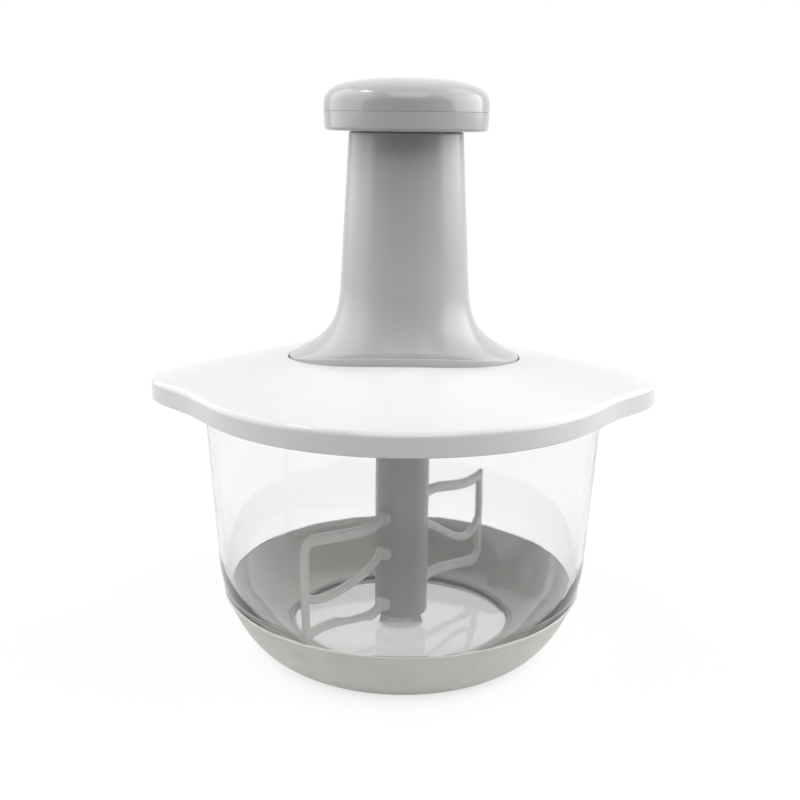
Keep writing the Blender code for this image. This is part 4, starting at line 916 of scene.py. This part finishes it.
def make_column():
    """The grey column: straight taper, flared oval foot with its lip, and the same inside."""
    top = COLUMN_TOP_RADIUS
    quarter = [math.pi / 2 * (1 - k / CORNER_STEPS) for k in range(CORNER_STEPS + 1)]
    rings = []
    for a in quarter:
        inset = COLUMN_ROUNDING * (1 - math.cos(a))
        z = COLUMN_TOP_Z - COLUMN_ROUNDING * (1 - math.sin(a))
        rings.append(column_ring((top - inset, z, top * COLUMN_OVAL - inset, z)))
    for k in range(1, CURVE_STEPS):
        share = k / CURVE_STEPS
        half = top + share * (COLUMN_NECK_RADIUS - top)
        shoulder_z = COLUMN_TOP_Z - COLUMN_ROUNDING
        z = shoulder_z + share * (FLARE_TOP_Z - shoulder_z)
        rings.append(column_ring((half, z, half * COLUMN_OVAL, z)))
    rings += [column_ring(row) for row in column_rows(0.0)[:-1]]
    for k in range(CORNER_STEPS + 1):
        a = math.pi / 2 * k / CORNER_STEPS
        inset = LIP_ROUNDING * (1 - math.sin(a))
        drop = LIP_ROUNDING * (1 - math.cos(a))
        edge = (FOOT_HALF_LENGTH - inset, SIDE_LIP_Z - drop)
        rings.append(column_ring((*edge, FOOT_HALF_DEPTH - inset, FRONT_LIP_Z - drop)))
    foot = (FOOT_HALF_LENGTH, COLUMN_LOW_Z, FOOT_HALF_DEPTH, COLUMN_LOW_Z)
    rings.append(column_ring(foot))
    inner_foot = [v - COLUMN_WALL if k % 2 == 0 else v for k, v in enumerate(foot)]
    rings.append(column_ring(inner_foot))
    rings += [column_ring(row) for row in column_rows(COLUMN_WALL)[::-1]]
    hole = TUBE_RADIUS + TUBE_GAP
    roof_z = COLUMN_TOP_Z - COLUMN_ROOF
    inner_top = (top - COLUMN_WALL, roof_z, top * COLUMN_OVAL - COLUMN_WALL, roof_z)
    rings += [column_ring(inner_top), round_ring(hole, roof_z, ROUND_STEPS)]
    rings.append(round_ring(hole, COLUMN_TOP_Z, ROUND_STEPS))
    mesh = ring_mesh("column", rings, closed=True)
    piece("grey_column", mesh, "lid", ["column"], grey)


# Knob


def cushion(radius, height, share):
    """A point of the knob's superellipse, from its widest (share 0) to its top (share 1)."""
    angle = math.pi / 2 * share
    across = max(math.cos(angle), 0.0) ** (2 / KNOB_SIDE_POWER)
    return radius * across, height * math.sin(angle) ** (2 / KNOB_TOP_POWER)


def make_knob():
    """The knob: a polished cap on a skirt, with a fine seam between them."""
    low_z = SEAM_Z + SEAM_GAP
    widest_z = CAP_LOW_Z + CAP_BAND
    height = KNOB_TOP_Z - widest_z
    bore = KNOB_RADIUS - KNOB_WALL
    outline = [(bore, low_z), (KNOB_RADIUS, low_z, SEAM_ROUNDING)]
    for k in range(KNOB_STEPS):
        radius, rise = cushion(KNOB_RADIUS, height, k / KNOB_STEPS)
        outline.append((radius, widest_z + rise))
    outline.append((0, KNOB_TOP_Z))
    outline.append((0, KNOB_TOP_Z - KNOB_WALL))
    for k in range(KNOB_STEPS - 1, -1, -1):
        radius, rise = cushion(bore, height - KNOB_WALL, k / KNOB_STEPS)
        outline.append((radius, widest_z + rise))
    mesh = turned("knob_cap", rounded(outline), knob_grey, ring=True)
    piece("knob_dome", mesh, "plunger", ["knob_cap"])
    waist = KNOB_RADIUS - KNOB_TAPER
    hole = TUBE_RADIUS + PLAY
    hub = hole + KNOB_HUB_WALL
    floor_z = KNOB_LOW_Z + KNOB_WALL
    outline = [(hole, SEAM_Z), (hole, KNOB_LOW_Z, SEAM_ROUNDING)]
    outline += [(waist, KNOB_LOW_Z, KNOB_ROUNDING), (KNOB_RADIUS, SEAM_Z, SEAM_ROUNDING)]
    outline += [(bore, SEAM_Z), (bore, floor_z), (hub, floor_z), (hub, SEAM_Z)]
    mesh = turned("knob_base", rounded(outline), knob_grey, ring=True)
    piece("knob_skirt", mesh, "plunger", ["knob_base"])


# Studio


def make_lamp(name, place, width, height, watts):
    """A softbox, aimed at the object, that the camera doesn't see."""
    lamp = bpy.data.lights.new(name, "AREA")
    lamp.shape = "RECTANGLE"
    lamp.size = width
    lamp.size_y = height
    lamp.energy = watts
    box = bpy.data.objects.new(name, lamp)
    bpy.context.collection.objects.link(box)
    back = Vector(place) - Vector(AIM)
    turn = back.to_track_quat("Z", "Y").to_matrix().to_4x4()
    box.matrix_world = Matrix.Translation(place) @ turn
    box.visible_camera = False
    box.visible_transmission = False


def seen_directly(tree, *kinds):
    """1 for rays of some kinds that haven't met a dull surface since they left the camera."""
    rays = add(tree, "ShaderNodeLightPath").node.outputs
    straight = (rays["Diffuse Depth"], 0.5)
    straight = add(tree, "ShaderNodeMath", straight, operation="LESS_THAN")
    seen = 0.0
    for kind in kinds:
        seen = add(tree, "ShaderNodeMath", (seen, rays[kind]), operation="MAXIMUM")
    return add(tree, "ShaderNodeMath", (seen, straight), operation="MULTIPLY")


def make_world():
    """White for the camera and through clear plastic. Its light comes from the sides and the
    back, as in a light tent that is open towards the camera, and gloss mirrors that tent."""
    world = bpy.data.worlds.new("light_tent")
    bpy.context.scene.world = world
    world.use_nodes = True
    tree = world.node_tree
    direction = add(tree, "ShaderNodeTexCoord", out="Generated")
    way = add(tree, "ShaderNodeSeparateXYZ", [direction]).node.outputs
    sides = add(tree, "ShaderNodeMath", [way["X"], 2.0], operation="POWER")
    back = add(tree, "ShaderNodeClamp", [way["Y"]])
    parts = []
    for side_light, back_light in (TENT_LIGHT, TENT_MIRROR):
        part = add(tree, "ShaderNodeMath", [back, back_light], operation="MULTIPLY")
        sided = (sides, side_light, part)
        parts.append(add(tree, "ShaderNodeMath", sided, operation="MULTIPLY_ADD"))
    mirrored = seen_directly(tree, "Is Glossy Ray")
    tent = add(tree, "ShaderNodeMapRange", {0: mirrored, 3: parts[0], 4: parts[1]})
    seen = seen_directly(tree, "Is Camera Ray", "Is Transmission Ray")
    strength = add(tree, "ShaderNodeMapRange", {0: seen, 3: tent, 4: 1.0})
    tree.links.new(strength, tree.nodes["Background"].inputs["Strength"])
    tree.nodes["Background"].inputs["Color"].default_value = (1, 1, 1, 1)


def make_floor():
    """A white table. The camera sees it near white whatever its light, with the object's
    shadow on it and a painted shade where the bowl covers it; other rays see a bright round area."""
    mesh = bpy.data.meshes.new("floor")
    signs = ((-1, -1), (1, -1), (1, 1), (-1, 1))
    corners = [(x * TABLE_HALF, y * TABLE_HALF, -TABLE_DROP) for x, y in signs]
    mesh.from_pydata(corners, [], [(0, 1, 2, 3)])
    floor = bpy.data.objects.new("floor", mesh)
    bpy.context.collection.objects.link(floor)
    material = bpy.data.materials.new("white_table")
    material.use_nodes = True
    tree = material.node_tree
    shader = tree.nodes["Principled BSDF"]
    shader.inputs["Roughness"].default_value = 1.0
    shader.inputs["Specular IOR Level"].default_value = 0.0
    shader.inputs["Emission Color"].default_value = (1, 1, 1, 1)
    where = add(tree, "ShaderNodeTexCoord", out="Object")
    away = add(tree, "ShaderNodeVectorMath", [where], out=1, operation="LENGTH")
    seen = seen_directly(tree, "Is Camera Ray", "Is Glossy Ray", "Is Transmission Ray")
    bounce = {0: away, 1: BOUNCE_EDGE[0], 2: BOUNCE_EDGE[1], 3: TABLE_BOUNCE, 4: FAR_BOUNCE}
    bounce = add(tree, "ShaderNodeMapRange", bounce, interpolation_type="SMOOTHSTEP")
    shade = add(tree, "ShaderNodeMapRange", {0: seen, 3: bounce, 4: TABLE_SHADE})
    tree.links.new(shade, shader.inputs["Base Color"])
    glow = {0: away, 1: TABLE_EDGE[0], 2: TABLE_EDGE[1], 3: TABLE_GLOW, 4: 1.0}
    glow = add(tree, "ShaderNodeMapRange", glow, interpolation_type="SMOOTHSTEP")
    # Painted shade: the glow drops where the bowl covers the table
    glow = {0: away, 1: PAINTED_SHADE_UNDER_BOWL_RADII[0], 2: PAINTED_SHADE_UNDER_BOWL_RADII[1], 3: PAINTED_SHADE_UNDER_BOWL_GLOW, 4: glow}
    glow = add(tree, "ShaderNodeMapRange", glow, interpolation_type="SMOOTHSTEP")
    glow = add(tree, "ShaderNodeMath", [seen, glow], operation="MULTIPLY")
    tree.links.new(glow, shader.inputs["Emission Strength"])
    mesh.materials.append(material)


def make_camera():
    """The camera that was fitted to the photograph."""
    camera = bpy.data.cameras.new("camera")
    camera.sensor_width = SENSOR
    camera.lens = FOCAL_PIXELS / PHOTO_SIDE * SENSOR
    camera.clip_start = CLIP_START
    eye = bpy.data.objects.new("camera", camera)
    bpy.context.collection.objects.link(eye)
    yaw = math.atan((AXIS_PIXEL - PHOTO_SIDE / 2) / FOCAL_PIXELS)
    turn = Matrix.Rotation(yaw, 4, "Z") @ Matrix.Rotation(math.pi / 2 - CAMERA_PITCH, 4, "X")
    turn = turn @ Matrix.Rotation(CAMERA_ROLL, 4, "Z")
    eye.matrix_world = Matrix.Translation(CAMERA_PLACE) @ turn
    bpy.context.scene.camera = eye


turned_tree = turned_rule()
lid_tree = lid_rule()
clear = clear_san()

# Gloss-moulded grey ABS: a clear mirror of the lamps on a faintly uneven skin. The knob has
# been polished. The shaft's copy is a darker grey as painted shade, for the shade that the lid
# casts on it.
light_greys = ("C4C4C4", "C8C8C8")
grey_skin = (0.0030, 0.00001)
grey = moulded(
    "gloss_moulded_grey_ABS",
    ior=1.53,
    colours=light_greys,
    patch=0.030,
    roughness=(0.18, 0.25),
    dull_patch=0.012,
    grain=grey_skin,
)
knob_grey = moulded(
    "polished_grey_ABS",
    ior=1.53,
    colours=light_greys,
    patch=0.030,
    roughness=(0.11, 0.16),
    dull_patch=0.012,
    grain=grey_skin,
)
# Painted shade: the same grey ABS made darker for the shaft, which sits in the lid's shade
shaft_grey_painted_shade = moulded(
    "gloss_moulded_grey_ABS_painted_shade",
    ior=1.53,
    colours=("B2B2B1", "B6B6B5"),
    patch=0.030,
    roughness=(0.20, 0.27),
    dull_patch=0.012,
    grain=grey_skin,
)
# Gloss-moulded white ABS with a high polish and a few dull patches from handling
white = moulded(
    "gloss_moulded_white_ABS",
    ior=1.53,
    colours=("F0F0EF", "F4F4F3"),
    patch=0.050,
    roughness=(0.12, 0.20),
    dull_patch=0.020,
    grain=(0.0040, 0.00002),
)
# Satin polypropylene of the paddles: softer gloss, slightly mottled by its flow
satin = moulded(
    "satin_grey_polypropylene",
    ior=1.49,
    colours=("E4E4E0", "ECECE8"),
    patch=0.010,
    roughness=(0.28, 0.40),
    dull_patch=0.006,
    grain=(0.0008, 0.00002),
)
# Thermoplastic elastomer from a spark-eroded mould: fine matt grain, dusty in places. The
# real grain of 0.1 mm is drawn 0.7 mm wide, so that it shows.
rubber = moulded(
    "spark_grained_TPE",
    ior=1.50,
    colours=("D0CEC8", "D8D6D0"),
    patch=0.012,
    roughness=(0.50, 0.64),
    dull_patch=0.008,
    grain=(0.0007, 0.00005),
)
# Cast translucent silicone: soft, waxy gloss, with light that spreads under its skin
silicone = moulded(
    "cast_silicone",
    ior=1.41,
    colours=("CFCFCC", "D6D6D3"),
    patch=0.010,
    roughness=(0.35, 0.50),
    dull_patch=0.005,
    grain=None,
)
silicone_skin = silicone.node_tree.nodes["Principled BSDF"].inputs
silicone_skin["Subsurface Weight"].default_value = 0.2
silicone_skin["Subsurface Scale"].default_value = 0.002
# Unpigmented acetal: ivory white, waxy, with turned marks too fine to see
acetal = moulded(
    "natural_acetal",
    ior=1.48,
    colours=("DEDACD", "E6E2D6"),
    patch=0.008,
    roughness=(0.36, 0.48),
    dull_patch=0.004,
    grain=None,
)
# Glass-filled black nylon: dark grey, dull, with paler flecks at the skin, where the fibres
# of 0.3 mm are drawn 0.6 mm long, so that they show
black_nylon = moulded(
    "glass_filled_nylon",
    ior=1.53,
    colours=("262627", "3A3A3B"),
    patch=0.0006,
    roughness=(0.42, 0.60),
    dull_patch=0.002,
    grain=(0.0006, 0.00003),
    share=(0.45, 0.75),
)
slots = {
    "clear_plastic": clear,
    "soft_grip": rubber,
    "grey_plastic": grey,
    "paddle_plastic": satin,
    "white_plastic": white,
    "seal_silicone": silicone,
    "natural_nylon": acetal,
    "black_nylon": black_nylon,
    "steel": drawn_steel(),
}
for subpart in frame["record"]["subparts"]:
    node = frame["nodes"][subpart["node"]]
    node.data.materials.clear()
    node.data.materials.append(slots[subpart["material_slot"]])

make_bowl()
make_grip()
make_shaft()
make_paddle("right", 0.0, True)
make_paddle("left", math.pi, False)
make_lid()
make_column()
make_knob()
make_world()
make_floor()
make_camera()
for lamp_name, lamp in LAMPS.items():
    make_lamp(lamp_name, *lamp)
bpy.context.scene.view_settings.view_transform = "Standard"
